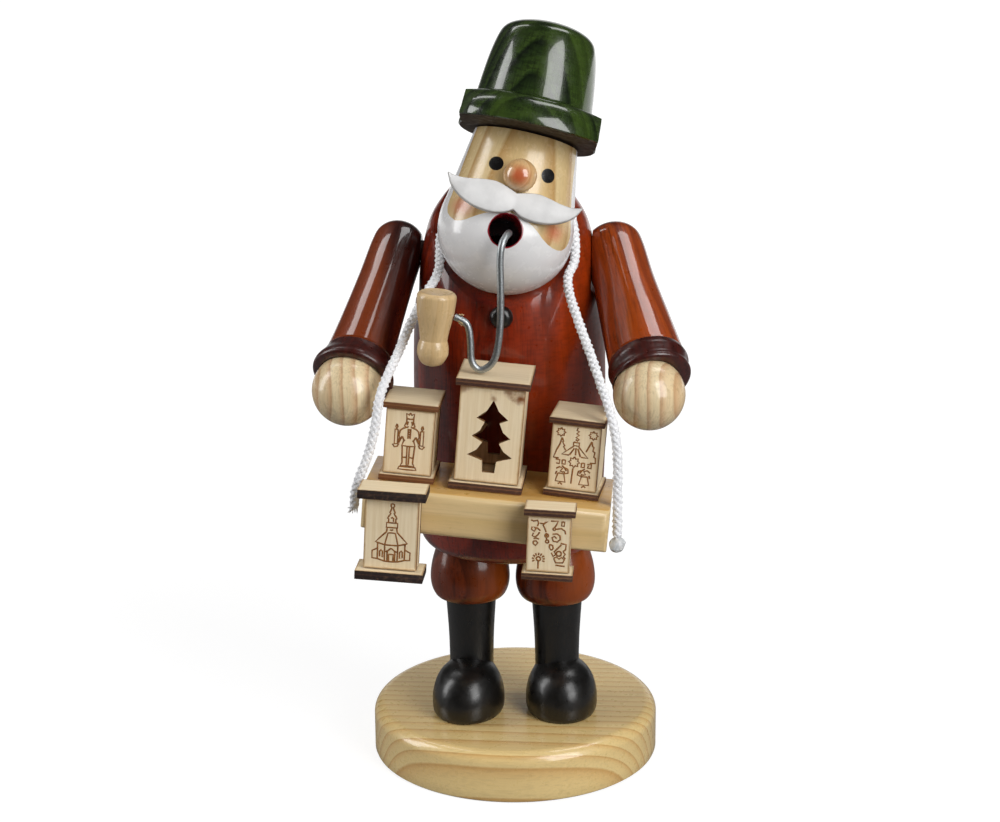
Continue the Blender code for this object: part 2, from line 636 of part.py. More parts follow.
def build_arm(side, name):
    pivot, reach, frame = arm_frame(side, name)
    face = reach - CUFF_FACE_TO_HAND
    groove = face - CUFF_LENGTH
    shoulder, wrist, cuff = ARM_SHOULDER_RADIUS, ARM_WRIST_RADIUS, CUFF_RADIUS
    sleeve = smooth_curve([(0, -shoulder - 0.7), (shoulder * 0.52, -shoulder * 0.88), (shoulder * 0.87, -shoulder * 0.5),
                           (shoulder, 0.5), (shoulder + 0.45, reach * 0.25), (wrist - 0.45, reach * 0.55),
                           (wrist, groove)], 2)
    ring = smooth_curve([(cuff - 1.3, groove + 1.0), (cuff - 0.3, groove + 3.0), (cuff, face - 2.6),
                         (cuff - 0.5, face - 0.7), (cuff - 1.6, face)], 2)
    cup = HAND_RADIUS + SEAT_GAP
    edge = degrees(asin(CUFF_FACE_TO_HAND / cup))
    recess = arc((0, reach), cup, -edge, -90, 5)
    outline = sleeve + [(wrist - 0.35, groove + 0.5)] + ring + recess[:-1] + [(0, reach - cup)]
    arm = make_object(name + "_arm", turn(outline, 28), frame)
    carry(arm, pivot)
    paint(arm, "coat_stain")
    size = 80.0
    plane = side * (SHOULDER_FACE_X + SEAT_GAP)
    flat = block((size, size, size), (plane - side * size / 2, 0, SHOULDER_Z))
    boolean(arm, carry(make_cutter(name + "_arm_flat", flat)), "DIFFERENCE")
    hole = rod(DOWEL_RADIUS + DOWEL_CLEARANCE, (side * (SHOULDER_FACE_X - 3), 0, SHOULDER_Z),
               (side * (SHOULDER_FACE_X + SEAT_GAP + DOWEL_IN_ARM + DOWEL_CLEARANCE), 0, SHOULDER_Z), 24)
    boolean(arm, carry(make_cutter(name + "_arm_hole", hole)), "DIFFERENCE")

    hand = make_object(name + "_hand", turn(arc((0, reach), HAND_RADIUS, -90, 90, 12), 22), frame)
    paint(carry(hand, pivot), "pine")
    dowel = rod(DOWEL_RADIUS, (side * (SHOULDER_FACE_X - DOWEL_IN_BODY), 0, SHOULDER_Z),
                (side * (SHOULDER_FACE_X + SEAT_GAP + DOWEL_IN_ARM), 0, SHOULDER_Z), 24)
    paint(carry(make_object(name + "_shoulder_dowel", dowel), pivot), "pale_wood")


# Tray and lanterns


def tray_frame():
    centre = (TRAY_CENTRE_X, -COAT_RADIUS - SEAT_GAP - TRAY_DEPTH / 2, TRAY_CENTRE_Z)
    return Matrix.Translation(centre) @ Matrix.Rotation(radians(TRAY_TILT), 4, "Y")


def build_tray():
    bm = block((TRAY_WIDTH, TRAY_DEPTH, TRAY_THICKNESS), (0, 0, 0))
    front = -TRAY_DEPTH / 2 + 0.01
    edges = [e for e in bm.edges if all(v.co.y < front for v in e.verts)]
    bmesh.ops.bevel(bm, geom=edges, offset=TRAY_EDGE_ROUND, segments=4, profile=0.5, affect="EDGES",
                    clamp_overlap=True)
    tray = carry(make_object("tray", bm, tray_frame()))
    paint(tray, "pine")
    back = -COAT_RADIUS - SEAT_GAP
    end = back - TRAY_DOWEL_IN_TRAY
    hole = rod(TRAY_DOWEL_RADIUS + SEAT_GAP, (0, back + 4, TRAY_CENTRE_Z), (0, end - SEAT_GAP, TRAY_CENTRE_Z), 20)
    boolean(tray, carry(make_cutter("tray_hole", hole)), "DIFFERENCE")
    dowel = rod(TRAY_DOWEL_RADIUS, (0, -COAT_RADIUS + TRAY_DOWEL_IN_BODY, TRAY_CENTRE_Z),
                (0, end, TRAY_CENTRE_Z), 20)
    paint(carry(make_object("tray_dowel", dowel)), "pale_wood")


def tree_outline(centre_z):
    half = [(x + 0.0, z + centre_z) for x, z in TREE_HALF]
    mirrored = [(-x, z) for x, z in half[:0:-1]]
    return [(x + TREE_SHIFT, z) for x, z in half + mirrored]


def board(name, size, centre, frame):
    paint(carry(make_object(name, block(size, centre), frame)), "plywood")
    return bpy.data.objects[name]


def build_lantern(name, frame, size, low, front_v=None):
    """Six sheets of plywood: two plates, a front and a back panel, and two sides between those."""
    width, depth, plate, walls, lip = size["width"], size["depth"], size["plate"], size["walls"], size["overhang"]
    wall_low = low + plate + SEAT_GAP
    middle = wall_low + walls / 2
    roof_low = wall_low + walls + SEAT_GAP
    inner_width = width - 2 * lip
    back_lip = lip if front_v is None else SEAT_GAP
    front = -depth / 2 + lip
    back = depth / 2 - back_lip
    board(name + "_floor", (width, depth, plate), (0, 0, low + plate / 2), frame)
    board(name + "_roof", (width, depth, plate), (0, 0, roof_low + plate / 2), frame)
    panel = (inner_width, WALL_SHEET, walls)
    pieces = [board(name + "_front", panel, (0, front + WALL_SHEET / 2, middle), frame),
              board(name + "_back", panel, (0, back - WALL_SHEET / 2, middle), frame)]
    run = back - front - 2 * (WALL_SHEET + SEAT_GAP)
    for side, label in ((-1, "_left_side"), (1, "_right_side")):
        x = side * (inner_width - WALL_SHEET) / 2
        board(name + label, (WALL_SHEET, run, walls), (x, (front + back) / 2, middle), frame)
    return pieces, middle


def build_lanterns():
    tray = tray_frame()
    for name, size in LANTERNS.items():
        frame = tray @ Matrix.Translation((size["u"], size["v"], 0)) @ Matrix.Rotation(radians(size["turn"]), 4, "Z")
        low = TRAY_THICKNESS / 2 + SEAT_GAP
        pieces, middle = build_lantern(name + "_lantern", frame, size, low)
        if name == "middle":
            for piece in pieces:
                prism = extrude_outline(tree_outline(0), -40, 40)
                upright = frame @ Matrix.Translation((0, 0, middle)) @ Matrix.Rotation(radians(90), 4, "X")
                cutter = carry(make_cutter(piece.name + "_tree", prism, upright))
                boolean(piece, cutter, "DIFFERENCE")
    for name, size in FRONT_LANTERNS.items():
        v = -TRAY_DEPTH / 2 - SEAT_GAP - size["depth"] / 2
        height = size["walls"] + 2 * size["plate"] + 2 * SEAT_GAP
        frame = (tray @ Matrix.Translation((size["u"], v, size["top"] - height / 2))
                 @ Matrix.Rotation(radians(-size["tilt"]), 4, "Y"))
        build_lantern(name + "_lantern", frame, size, -height / 2, front_v=v)


# Pipe


def wire_end():
    """The straight end of the wire, from its blind hole behind the mouth to the lip."""
    frame = head_frame()
    return [frame @ Vector(PIPE_SOCKET).lerp(Vector(PIPE_LIP), share) for share in (0, 0.25, 0.5, 0.75, 1)]


def pipe_pivot():
    """The wire turns in its hole about its straight end."""
    return wire_end()[-1]


def build_pipe():
    route = [tuple(p) for p in wire_end()] + list(PIPE_WIRE_ROUTE)
    wire = tube("pipe_wire", route, PIPE_WIRE_RADIUS, PIPE_WIRE_POINTS, 1)
    carry(wire, pipe_pivot())
    paint(wire, "steel_wire")
    ball, neck, bowl, top = PIPE_BALL_RADIUS, PIPE_NECK_RADIUS, PIPE_BOWL_RADIUS, PIPE_BOWL_HEIGHT
    lower = smooth_curve([(0, 0), (ball * 0.62, 0.9), (ball * 0.95, 3.2), (ball, 5.2), (ball * 0.93, 7.0), (neck, 7.8)], 2)
    upper = smooth_curve([(neck + 0.1, 8.4), (neck + 0.5, 11.0), (bowl - 0.35, 15.5), (bowl, top - 1.8),
                          (bowl - 0.25, top - 0.6), (bowl - 1.0, top)], 2)
    outline = lower + upper + [(0, top - 0.4)]
    frame = (Matrix.Translation((PIPE_BOWL_FOOT[0], PIPE_PLANE_Y, PIPE_BOWL_FOOT[1]))
             @ Matrix.Rotation(radians(PIPE_BOWL_LEAN), 4, "Y"))
    bowl = carry(make_object("pipe_bowl", turn(outline, 22), frame), pipe_pivot())
    paint(bowl, "pale_wood")
    tip = Vector(PIPE_WIRE_ROUTE[-1])
    before = Vector(PIPE_WIRE_ROUTE[-2])
    along = (tip - before).normalized()
    hole = rod(PIPE_WIRE_RADIUS + PIPE_HOLE_CLEARANCE, tip + along * PIPE_HOLE_CLEARANCE, before, 16)
    boolean(bowl, carry(make_cutter("pipe_hole", hole)), "DIFFERENCE")


# Cord


def build_cord():
    cord = tube("neck_cord", CORD_ROUTE, CORD_RADIUS, CORD_POINTS, 2)
    paint(carry(cord), "cord_white")
    x, y, z = CORD_ROUTE[-1]
    bead = turn(arc((0, z - SEAT_GAP - BEAD_RADIUS), BEAD_RADIUS, -90, 90, 8), 16)
    paint(carry(make_object("cord_end_bead", bead, Matrix.Translation((x, y, 0)))), "cord_white")


def main():
    clear_scene()
    build_base()
    for side, name in ((-1, "left"), (1, "right")):
        build_leg(side, name)
    build_lower_body()
    build_dish()
    coat = build_upper_body()
    build_button(coat)
    build_head()
    build_moustache()
    build_hat()
    for side, name in ((-1, "left"), (1, "right")):
        build_arm(side, name)
    build_tray()
    build_lanterns()
    build_pipe()
    build_cord()


main()
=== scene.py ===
"""Looks of the wooden smoker figure: its pieces at full detail, their finishes, the light and the camera.

Sizes are in millimetres in the figure's own frame unless a name says otherwise, and become metres when
a mesh is made. +Z is up and the figure faces -Y.
"""

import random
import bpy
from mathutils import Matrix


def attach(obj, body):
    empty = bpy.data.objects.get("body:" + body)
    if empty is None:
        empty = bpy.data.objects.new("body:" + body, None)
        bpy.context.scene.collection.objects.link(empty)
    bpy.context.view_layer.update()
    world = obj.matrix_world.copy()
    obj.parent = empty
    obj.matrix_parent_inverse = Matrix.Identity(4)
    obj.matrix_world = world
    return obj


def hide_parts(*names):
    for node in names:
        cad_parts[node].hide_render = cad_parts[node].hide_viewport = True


bl_info = {
    "name": "Wooden smoker figure",
    "version": (1, 0, 0),
    "blender": (4, 5, 0),
    "location": "3D View > Sidebar > Smoker",
    "description": "Builds the pieces and finishes of a turned wooden smoker figure with a lantern tray",
    "category": "Object",
}

from math import asin, atan, atan2, cos, degrees, hypot, pi, radians, sin

import bmesh
import bpy
from bpy.props import FloatProperty, FloatVectorProperty, IntProperty, PointerProperty
from mathutils import Matrix, Vector

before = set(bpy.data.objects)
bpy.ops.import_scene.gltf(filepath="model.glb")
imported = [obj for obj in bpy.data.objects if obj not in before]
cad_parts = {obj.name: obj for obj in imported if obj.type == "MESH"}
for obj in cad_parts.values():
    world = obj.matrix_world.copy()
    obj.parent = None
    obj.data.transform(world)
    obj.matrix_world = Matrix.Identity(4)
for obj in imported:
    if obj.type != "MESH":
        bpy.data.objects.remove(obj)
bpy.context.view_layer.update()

MM = 0.001
GAP = 0.3
FIGURE = Matrix.Translation((-0.7, -5.0, 0.0))
ALONG_X = Matrix.Rotation(pi / 2, 4, "Y")
SIDES = (("left", -1), ("right", 1))


# Small tools


def hex_rgb(colour):
    """An sRGB hex value as three sRGB numbers from 0 to 1."""
    return tuple(int(colour[i:i + 2], 16) / 255 for i in (0, 2, 4))


def linear(colour):
    """An sRGB hex value as linear red, green, blue and alpha."""
    channels = (c / 12.92 if c <= 0.04045 else ((c + 0.055) / 1.055) ** 2.4 for c in hex_rgb(colour))
    return (*channels, 1.0)


def from_user(colour):
    """A colour that the user may have changed, as linear values."""
    return linear("".join(f"{round(c * 255):02X}" for c in colour))


def turned(axis, angle):
    return Matrix.Rotation(radians(angle), 4, axis)


def moved(x, y, z):
    return Matrix.Translation((x, y, z))


def back_to(place):
    """From metres in a finished mesh to millimetres in the piece's own frame."""
    return (Matrix.Scale(MM, 4) @ FIGURE @ place).inverted()


def smooth_curve(points, per_span):
    """Catmull-Rom curve through the points."""
    result = []
    last = len(points) - 1
    for i in range(last):
        spans = zip(points[max(i - 1, 0)], points[i], points[i + 1], points[min(i + 2, last)])
        spans = [(q, r - p, 2 * p - 5 * q + 4 * r - s, 3 * q - p - 3 * r + s) for p, q, r, s in spans]
        for k in range(per_span):
            t = k / per_span
            result.append(tuple(0.5 * (2 * q + a * t + b * t * t + c * t ** 3) for q, a, b, c in spans))
    return result + [tuple(points[-1])]


def arc(centre, radius, start, end, steps):
    angles = [radians(start + (end - start) * i / steps) for i in range(steps + 1)]
    return [(centre[0] + radius * cos(a), centre[1] + radius * sin(a)) for a in angles]


def rings_to_mesh(rings):
    """Skins closed rings of points; a ring of one point closes that end."""
    bm = bmesh.new()
    rows = [[bm.verts.new(p) for p in ring] for ring in rings]
    for low, high in zip(rows, rows[1:]):
        count = max(len(low), len(high))
        for i in range(count):
            j = (i + 1) % count
            if len(low) == 1:
                bm.faces.new((low[0], high[i], high[j]))
            elif len(high) == 1:
                bm.faces.new((low[i], low[j], high[0]))
            else:
                bm.faces.new((low[i], low[j], high[j], high[i]))
    for row in (rows[0], rows[-1]):
        if len(row) > 1:
            bm.faces.new(row)
    return bm


def lathe(profile, steps=96):
    """Spins a line of (radius, height) points about Z."""
    rings = []
    for r, z in profile:
        if r < 1e-5:
            rings.append([(0, 0, z)])
        else:
            angles = [2 * pi * i / steps for i in range(steps)]
            rings.append([(r * cos(a), r * sin(a), z) for a in angles])
    return rings_to_mesh(rings)


def rod(radius, start, end, steps=48):
    start, end = Vector(start), Vector(end)
    length = (end - start).length
    bm = lathe([(0, 0), (radius, 0), (radius, length), (0, length)], steps)
    bm.transform(Matrix.Translation(start) @ (end - start).to_track_quat("Z", "Y").to_matrix().to_4x4())
    return bm


def block(size, centre):
    bm = bmesh.new()
    bmesh.ops.create_cube(bm, size=1)
    bmesh.ops.scale(bm, vec=size, verts=bm.verts)
    bmesh.ops.translate(bm, vec=centre, verts=bm.verts)
    return bm


def extrude_outline(outline, low, high):
    bm = bmesh.new()
    face = bm.faces.new([bm.verts.new((x, y, low)) for x, y in outline])
    lifted = bmesh.ops.extrude_face_region(bm, geom=[face])["geom"]
    corners = [v for v in lifted if isinstance(v, bmesh.types.BMVert)]
    bmesh.ops.translate(bm, verts=corners, vec=(0, 0, high - low))
    return bm


def soften(bm, edges, offset, segments):
    bmesh.ops.bevel(bm, geom=edges, offset=offset, segments=segments, profile=0.5, affect="EDGES",
                    clamp_overlap=True)


def new_object(name, bm, place=None, materials=(), smooth_angle=38.0):
    """Makes an object of a bmesh in figure millimetres, standing at the origin with its place in its mesh."""
    if place is not None:
        bm.transform(place)
    bmesh.ops.recalc_face_normals(bm, faces=bm.faces)
    if bm.calc_volume(signed=True) < 0:
        bmesh.ops.reverse_faces(bm, faces=bm.faces)
    bm.transform(Matrix.Scale(MM, 4) @ FIGURE)
    mesh = bpy.data.meshes.new(name)
    bm.to_mesh(mesh)
    bm.free()
    mesh.shade_smooth()
    mesh.set_sharp_from_angle(angle=radians(smooth_angle))
    item = bpy.data.objects.new(name, mesh)
    bpy.context.scene.collection.objects.link(item)
    for material in materials:
        mesh.materials.append(material)
    return item


def evaluated_mesh(item):
    return bpy.data.meshes.new_from_object(item.evaluated_get(bpy.context.evaluated_depsgraph_get()))


def carve(item, cutters, operation="DIFFERENCE", smooth_angle=38.0):
    """Cuts each (shape, place, material) out of the piece, or joins it on, and removes the shape."""
    made = []
    for number, (bm, place, material) in enumerate(cutters):
        cutter = new_object(f"{item.name}_cut_{number}", bm, place, [material] if material else [])
        modifier = item.modifiers.new("cut", "BOOLEAN")
        modifier.operation = operation
        modifier.solver = "EXACT"
        modifier.object = cutter
        modifier.material_mode = "TRANSFER" if material else "INDEX"
        made.append(cutter)
    bpy.context.view_layer.update()
    mesh = evaluated_mesh(item)
    old = item.data
    item.modifiers.clear()
    item.data = mesh
    mesh.name = item.name
    bpy.data.meshes.remove(old)
    mesh.shade_smooth()
    mesh.set_sharp_from_angle(angle=radians(smooth_angle))
    for cutter in made:
        shape = cutter.data
        bpy.data.objects.remove(cutter)
        bpy.data.meshes.remove(shape)


def hand_over(item, body, slot, *nodes):
    """Makes the piece ride on its body, in place of its nodes; the slot, a finish named in the record, is not
    used.
    """
    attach(item, body)
    if nodes:
        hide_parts(*nodes)
    return item


# Node trees


class Nodes:
    """A node tree with short names for its nodes: each call adds one and gives back one of its outputs."""

    def __init__(self, tree):
        self.tree = tree

    def add(self, kind, settings=None, feeds=None, take=0):
        made = self.tree.nodes.new(kind)
        for name, value in (settings or {}).items():
            setattr(made, name, value)
        for name, value in (feeds or {}).items():
            if isinstance(value, bpy.types.NodeSocket):
                self.tree.links.new(value, made.inputs[name])
            else:
                made.inputs[name].default_value = value
        return made.outputs[take] if len(made.outputs) else None

    def maths(self, operation, *values):
        return self.add("ShaderNodeMath", {"operation": operation}, dict(enumerate(values)))

    def vector(self, operation, *values):
        take = "Value" if operation in ("DISTANCE", "LENGTH", "DOT_PRODUCT") else "Vector"
        return self.add("ShaderNodeVectorMath", {"operation": operation}, dict(enumerate(values)), take)

    def scaled(self, vector, scale):
        return self.add("ShaderNodeVectorMath", {"operation": "SCALE"}, {0: vector, "Scale": scale})

    def part(self, vector, axis):
        return self.add("ShaderNodeSeparateXYZ", None, {0: vector}, axis)

    def noise(self, vector, scale, detail=2.0, take=0, **more):
        feeds = {"Vector": vector, "Scale": scale, "Detail": detail, **more}
        return self.add("ShaderNodeTexNoise", None, feeds, take)

    def ramp(self, value, stops):
        made = self.tree.nodes.new("ShaderNodeValToRGB")
        elements = made.color_ramp.elements
        while len(elements) > 1:
            elements.remove(elements[-1])
        elements[0].position = stops[0][0]
        elements[0].color = linear(stops[0][1])
        for position, colour in stops[1:]:
            elements.new(position).color = linear(colour)
        self.tree.links.new(value, made.inputs["Fac"])
        return made.outputs[0]

    def span(self, value, start, end, low=0.0, high=1.0):
        """Runs evenly from low to high while the value runs from start to end."""
        return self.add("ShaderNodeMapRange", None,
                        {"Value": value, "From Min": start, "From Max": end, "To Min": low, "To Max": high})

    def fade(self, value, start, end, low=0.0, high=1.0):
        """The same run with soft ends."""
        return self.add("ShaderNodeMapRange", {"interpolation_type": "SMOOTHSTEP"},
                        {"Value": value, "From Min": start, "From Max": end, "To Min": low, "To Max": high})

    def mix(self, factor, first, second, kind="MIX"):
        return self.add("ShaderNodeMix", {"data_type": "RGBA", "blend_type": kind},
                        {0: factor, 6: first, 7: second}, 2)

    def either(self, factor, first, second):
        return self.add("ShaderNodeMix", {"data_type": "FLOAT"}, {0: factor, 2: first, 3: second})

    def bump(self, height, depth):
        return self.add("ShaderNodeBump", None, {"Distance": depth * MM, "Height": height})

    def rays(self):
        """Whether a ray comes from the camera, and whether it comes by way of a gloss or a clear piece."""
        path = self.tree.nodes.new("ShaderNodeLightPath").outputs
        mirrored = self.maths("MAXIMUM", path["Is Glossy Ray"], path["Is Transmission Ray"])
        return path["Is Camera Ray"], mirrored


WOOD = dict(pith=(30.0, 10.0), ring=3.0, core=0.0, core_ring=1000.0, taper=0.0, wobble=2.0, wander=0.035,
            fibre=0.25, ripple=0.0, glow=None, blotch=0.0, blotch_colour="404040",
            stops=((0.0, "E3CDA0"), (0.62, "D9BC86"), (0.9, "B88C50"), (1.0, "DBC08C")))


class Finish(Nodes):
    """A new material; with a place, its local coordinates are millimetres in the piece's own frame."""

    def __init__(self, name, place=None):
        self.material = bpy.data.materials.new(name)
        self.material.use_nodes = True
        super().__init__(self.material.node_tree)
        self.tree.nodes.clear()
        if place is not None:
            whole = FIGURE @ place
            self.local = self.add(
                "ShaderNodeMapping", {"vector_type": "TEXTURE"},
                {"Vector": self.add("ShaderNodeTexCoord", take="Object"), "Location": whole.translation * MM,
                 "Rotation": whole.to_euler("XYZ"), "Scale": (MM, MM, MM)})

    def mark(self, name):
        return self.add("ShaderNodeAttribute", {"attribute_name": name}, None, "Fac")

    def surface(self, colour, rough, bump, **more):
        """The material's shader; underscores in the names of further settings stand for spaces."""
        feeds = {name.replace("_", " "): value for name, value in more.items()}
        shader = self.add("ShaderNodeBsdfPrincipled", None,
                          {"Base Color": colour, "Roughness": rough, "Normal": bump, **feeds})
        self.add("ShaderNodeOutputMaterial", None, {"Surface": shader})
        return self.material

    def lacquer(self, colour, height, rough=0.22, coat=0.6, coat_rough=0.08, depth=0.02, specular=0.5):
        """Clear or tinted lacquer: slightly uneven gloss, fibres telegraphing through, a soft orange peel."""
        peel = self.noise(self.local, 0.45)
        uneven = self.span(peel, 0.3, 0.7, rough * 0.8, rough * 1.3)
        bump = self.bump(self.maths("MULTIPLY_ADD", peel, 1.6, height), depth)
        return self.surface(colour, uneven, bump, Coat_Weight=coat, Coat_Roughness=coat_rough,
                            Specular_IOR_Level=specular)

    def wood(self, look):
        """Growth rings about a pith that runs along the frame's Z, with fibres and stain blotches over them.

        Rings are wider inside the core radius. Ripple adds the fine bands that cross some boards, and glow a
        tint that grows along a direction: painted light on the lit side of the coat, breeches and sleeves,
        and a deeper amber towards each hand's outer side.
        """
        look = {**WOOD, **look}
        drawn_out = self.vector("MULTIPLY", self.local, (1, 1, 0.14))
        wander = self.noise(drawn_out, look["wander"], 2.5, take=1)
        centred = self.vector("SUBTRACT", wander, (0.5, 0.5, 0.5))
        bent = self.vector("ADD", self.local, self.scaled(centred, look["wobble"] * 4))
        away = self.vector("DISTANCE", self.vector("MULTIPLY", bent, (1, 1, 0)), (*look["pith"], 0))
        leaning = self.maths("MULTIPLY_ADD", self.part(self.local, 2), look["taper"], away)
        outside = self.maths("SUBTRACT", leaning, look["core"])
        narrow = self.maths("DIVIDE", outside, look["ring"])
        wide = self.maths("DIVIDE", outside, look["core_ring"])
        ring = self.maths("FRACT", self.maths("MAXIMUM", narrow, wide))
        along = self.vector("MULTIPLY", self.local, (1, 1, 0.05))
        fibre = self.noise(along, 1.7, 4, Roughness=0.6)
        shade = self.ramp(fibre, ((0.3, "8C8C8C"), (0.55, "FFFFFF"), (0.7, "E8E8E8")))
        colour = self.mix(look["fibre"], self.ramp(ring, look["stops"]), shade, "MULTIPLY")
        if look["glow"]:
            direction, start, end, tint, strength = look["glow"]
            amount = self.fade(self.vector("DOT_PRODUCT", bent, direction), start, end, 0.0, strength)
            colour = self.mix(amount, colour, linear(tint))
        if look["ripple"]:
            bands = self.noise(self.vector("MULTIPLY", self.local, (0.28, 0.28, 1.0)), 1.2)
            shade = self.ramp(bands, ((0.36, "6E6E6E"), (0.56, "FFFFFF")))
            colour = self.mix(look["ripple"], colour, shade, "MULTIPLY")
        if look["blotch"]:
            cloud = self.noise(drawn_out, 0.11, 3, Distortion=0.4)
            amount = self.span(cloud, 0.4, 0.68, 0.0, look["blotch"])
            colour = self.mix(amount, colour, linear(look["blotch_colour"]))
        return colour, fibre


# Finishes

# Pine under clear lacquer: broad honey bands with sharp dark latewood edges
PINE_STOPS = ((0.0, "E3C88B"), (0.55, "E0C284"), (0.82, "D9B475"), (0.94, "C79C5C"), (1.0, "E1C487"))
# Red-brown spirit stain: fibres drink it unevenly, so orange glows through
COAT_STOPS = ((0.0, "862708"), (0.4, "741B06"), (0.8, "500F05"), (1.0, "7E2207"))
# Dark green stain, darkest in the latewood
HAT_STOPS = ((0.0, "344619"), (0.5, "233411"), (0.85, "0E1808"), (1.0, "2D4016"))
# Pale pine left bare on the face
FACE_STOPS = ((0.0, "D8BF8E"), (0.55, "D1B480"), (0.9, "B8925C"), (1.0, "D5BB89"))

# Finishes over one noise: its scale and detail, the two shades with their stops, the range of roughness, the
# depth of the relief and further settings
EVEN = {
    # Zinc-plated spring wire, with fine drawing marks
    "sprung_steel": (2.5, 4, ((0.35, "9EA3A5"), (0.65, "BEC3C5")), (0.38, 0.56), 0.01, dict(Metallic=1.0)),
    # Pressed tinplate, browned by smoke
    "tinned_steel": (0.2, 4, ((0.4, "A08A58"), (0.65, "C6B98F")), (0.28, 0.5), 0.02, dict(Metallic=1.0)),
    # Braided polyester
    "white_cord": (3.0, 2, ((0.35, "E2E2E4"), (0.6, "F0F0F2")), (0.38, 0.6), 0.02, {}),
    # Clear drop over the melted cord end, with soft ripples
    "melted_bead": (0.8, 2, ((0.35, "DDE1E3"), (0.65, "F4F6F7")), (0.08, 0.2), 0.3,
                    dict(IOR=1.48, Transmission_Weight=0.35)),
    # A laser line burnt into birch
    "engraved_line": (1.6, 3, ((0.35, "74441C"), (0.65, "9A6834")), (0.7, 0.9), 0.03, {}),
}


def even(kind, name, place=None):
    scale, detail, stops, (low, high), depth, more = EVEN[kind]
    finish = Finish(name, place or Matrix())
    fine = finish.noise(finish.local, scale, detail)
    rough = finish.span(fine, 0.0, 1.0, low, high)
    return finish.surface(finish.ramp(fine, stops), rough, finish.bump(fine, depth), **more)


def wooden(name, place, look, **gloss):
    finish = Finish(name, place)
    return finish.lacquer(*finish.wood(look), **gloss)


def black_lacquer(name, place):
    """Black paint brushed over turned wood: satin, with dust nibs and a brown cast where it is thin."""
    finish = Finish(name, place)
    thin = finish.noise(finish.local, 0.12)
    colour = finish.ramp(thin, ((0.35, "0B0A09"), (0.6, "100E0C"), (0.78, "1A120D")))
    return finish.lacquer(colour, finish.noise(finish.local, 1.3, 4), rough=0.34, coat=0.35, coat_rough=0.24,
                          depth=0.03, specular=0.4)


def brushed_enamel(name, place, shade, dim, **gloss):
    """Nearly even paint, slightly dimmer in places, with a faint brush relief."""
    finish = Finish(name, place)
    colour = finish.ramp(finish.noise(finish.local, 0.16, 3), ((0.35, dim), (0.6, shade)))
    return finish.lacquer(colour, finish.noise(finish.local, 1.2, 3), coat_rough=0.15, **gloss)


def veneer(name, place, upright, pale, dark, stains=()):
    """Birch plywood face, unfinished: fine straight grain, browned by the laser towards each cut edge.

    A stain is a place on the panel, its radius and its strength.
    """
    finish = Finish(name, place)
    along = finish.vector("MULTIPLY", finish.local, (1.0, 1.0, 0.04) if upright else (0.04, 1.0, 1.0))
    grain = finish.noise(along, 1.3, 4, Roughness=0.65)
    colour = finish.ramp(grain, ((0.3, dark), (0.62, pale)))
    cloud = finish.noise(finish.local, 0.5, 3)
    ragged = finish.maths("MULTIPLY_ADD", cloud, 0.35, finish.mark("rim"))
    colour = finish.mix(finish.fade(ragged, 0.1, 0.7, 0.8, 0.0), colour, linear("9C7038"))
    for x, z, radius, strength in stains:
        away = finish.vector("DISTANCE", finish.vector("MULTIPLY", finish.local, (1, 0, 1)), (x, 0, z))
        ragged = finish.maths("MULTIPLY_ADD", cloud, radius * 1.6, away)
        amount = finish.fade(ragged, radius * 0.7, radius * 1.9, strength, 0.0)
        colour = finish.mix(amount, colour, linear("7C481C"))
    return finish.surface(colour, finish.span(grain, 0.0, 1.0, 0.5, 0.72), finish.bump(grain, 0.03))


def burnt_edge(name, place, core, outer):
    """The laser-cut edge of plywood: charred core, browner outer plies, streaked across."""
    finish = Finish(name, place)
    streak = finish.noise(finish.local, 1.1, 4)
    shifted = finish.maths("MULTIPLY_ADD", streak, 0.22, finish.mark("through"))
    plies = ((0.08, outer), (0.24, core), (0.55, core), (0.66, outer), (0.78, core), (1.0, core))
    ash = finish.span(streak, 0.5, 0.75, 0.0, 0.35)
    colour = finish.mix(ash, finish.ramp(shifted, plies), linear("7A5A42"))
    return finish.surface(colour, finish.span(streak, 0.0, 1.0, 0.55, 0.85), finish.bump(streak, 0.06))


# Sizes and frames that several pieces share

BASE_HEIGHT = 16.0
COAT_RADIUS = 29.2
COAT_TOP_Z = 188.2
COAT_SPLIT_Z = 86.0
# Radius and ends of the bore from the coat's chamber to the mouth
SMOKE_BORE = (3.5, (0, -8, 122), (-0.9, -21.3, 170.5))
NECK_FRAME = moved(0.0, -27.0, 152.0) @ turned("X", 50.0)
HEAD_FRAME = moved(0.95, -24.0, 172.2) @ turned("Z", 5.5) @ turned("Y", 14.0) @ turned("X", -17.0)
HEAD_TOP = 27.2
HAT_FRAME = HEAD_FRAME @ moved(0, 0, HEAD_TOP + 2 * GAP) @ turned("Y", -0.4)
SHOULDER_Z = 162.0
# Where the sleeves' middle lines start, and the flats on the coat that they turn against
SHOULDER_X = {"left": COAT_RADIUS + 4.6, "right": COAT_RADIUS + 2.6}
FACE_X = {"left": COAT_RADIUS - 2.9, "right": COAT_RADIUS - 4.1}
DOWEL_HOLE = 3.1
HAND_CENTRE = (43.1, -43.0, 129.6)
HAND_RADIUS = 10.3
TRAY_SIZE = (70.0, 31.5, 12.6)
TRAY_Z = 96.85
TRAY_FRAME = moved(-2.6, -COAT_RADIUS - GAP - TRAY_SIZE[1] / 2, TRAY_Z) @ turned("Y", 5.0)
TRAY_HOLE = 2.3
BOWL_FRAME = moved(-18.1, -49.0, 138.4) @ turned("Y", 5.0)


def arm_frame(name, side):
    """The arm's frame, with Z from the shoulder to the hand, and its length."""
    pivot = Vector((side * SHOULDER_X[name], 0, SHOULDER_Z))
    reach = Vector((side * HAND_CENTRE[0], *HAND_CENTRE[1:])) - pivot
    return Matrix.Translation(pivot) @ reach.to_track_quat("Z", "Y").to_matrix().to_4x4(), reach.length


# Settings that a user may change


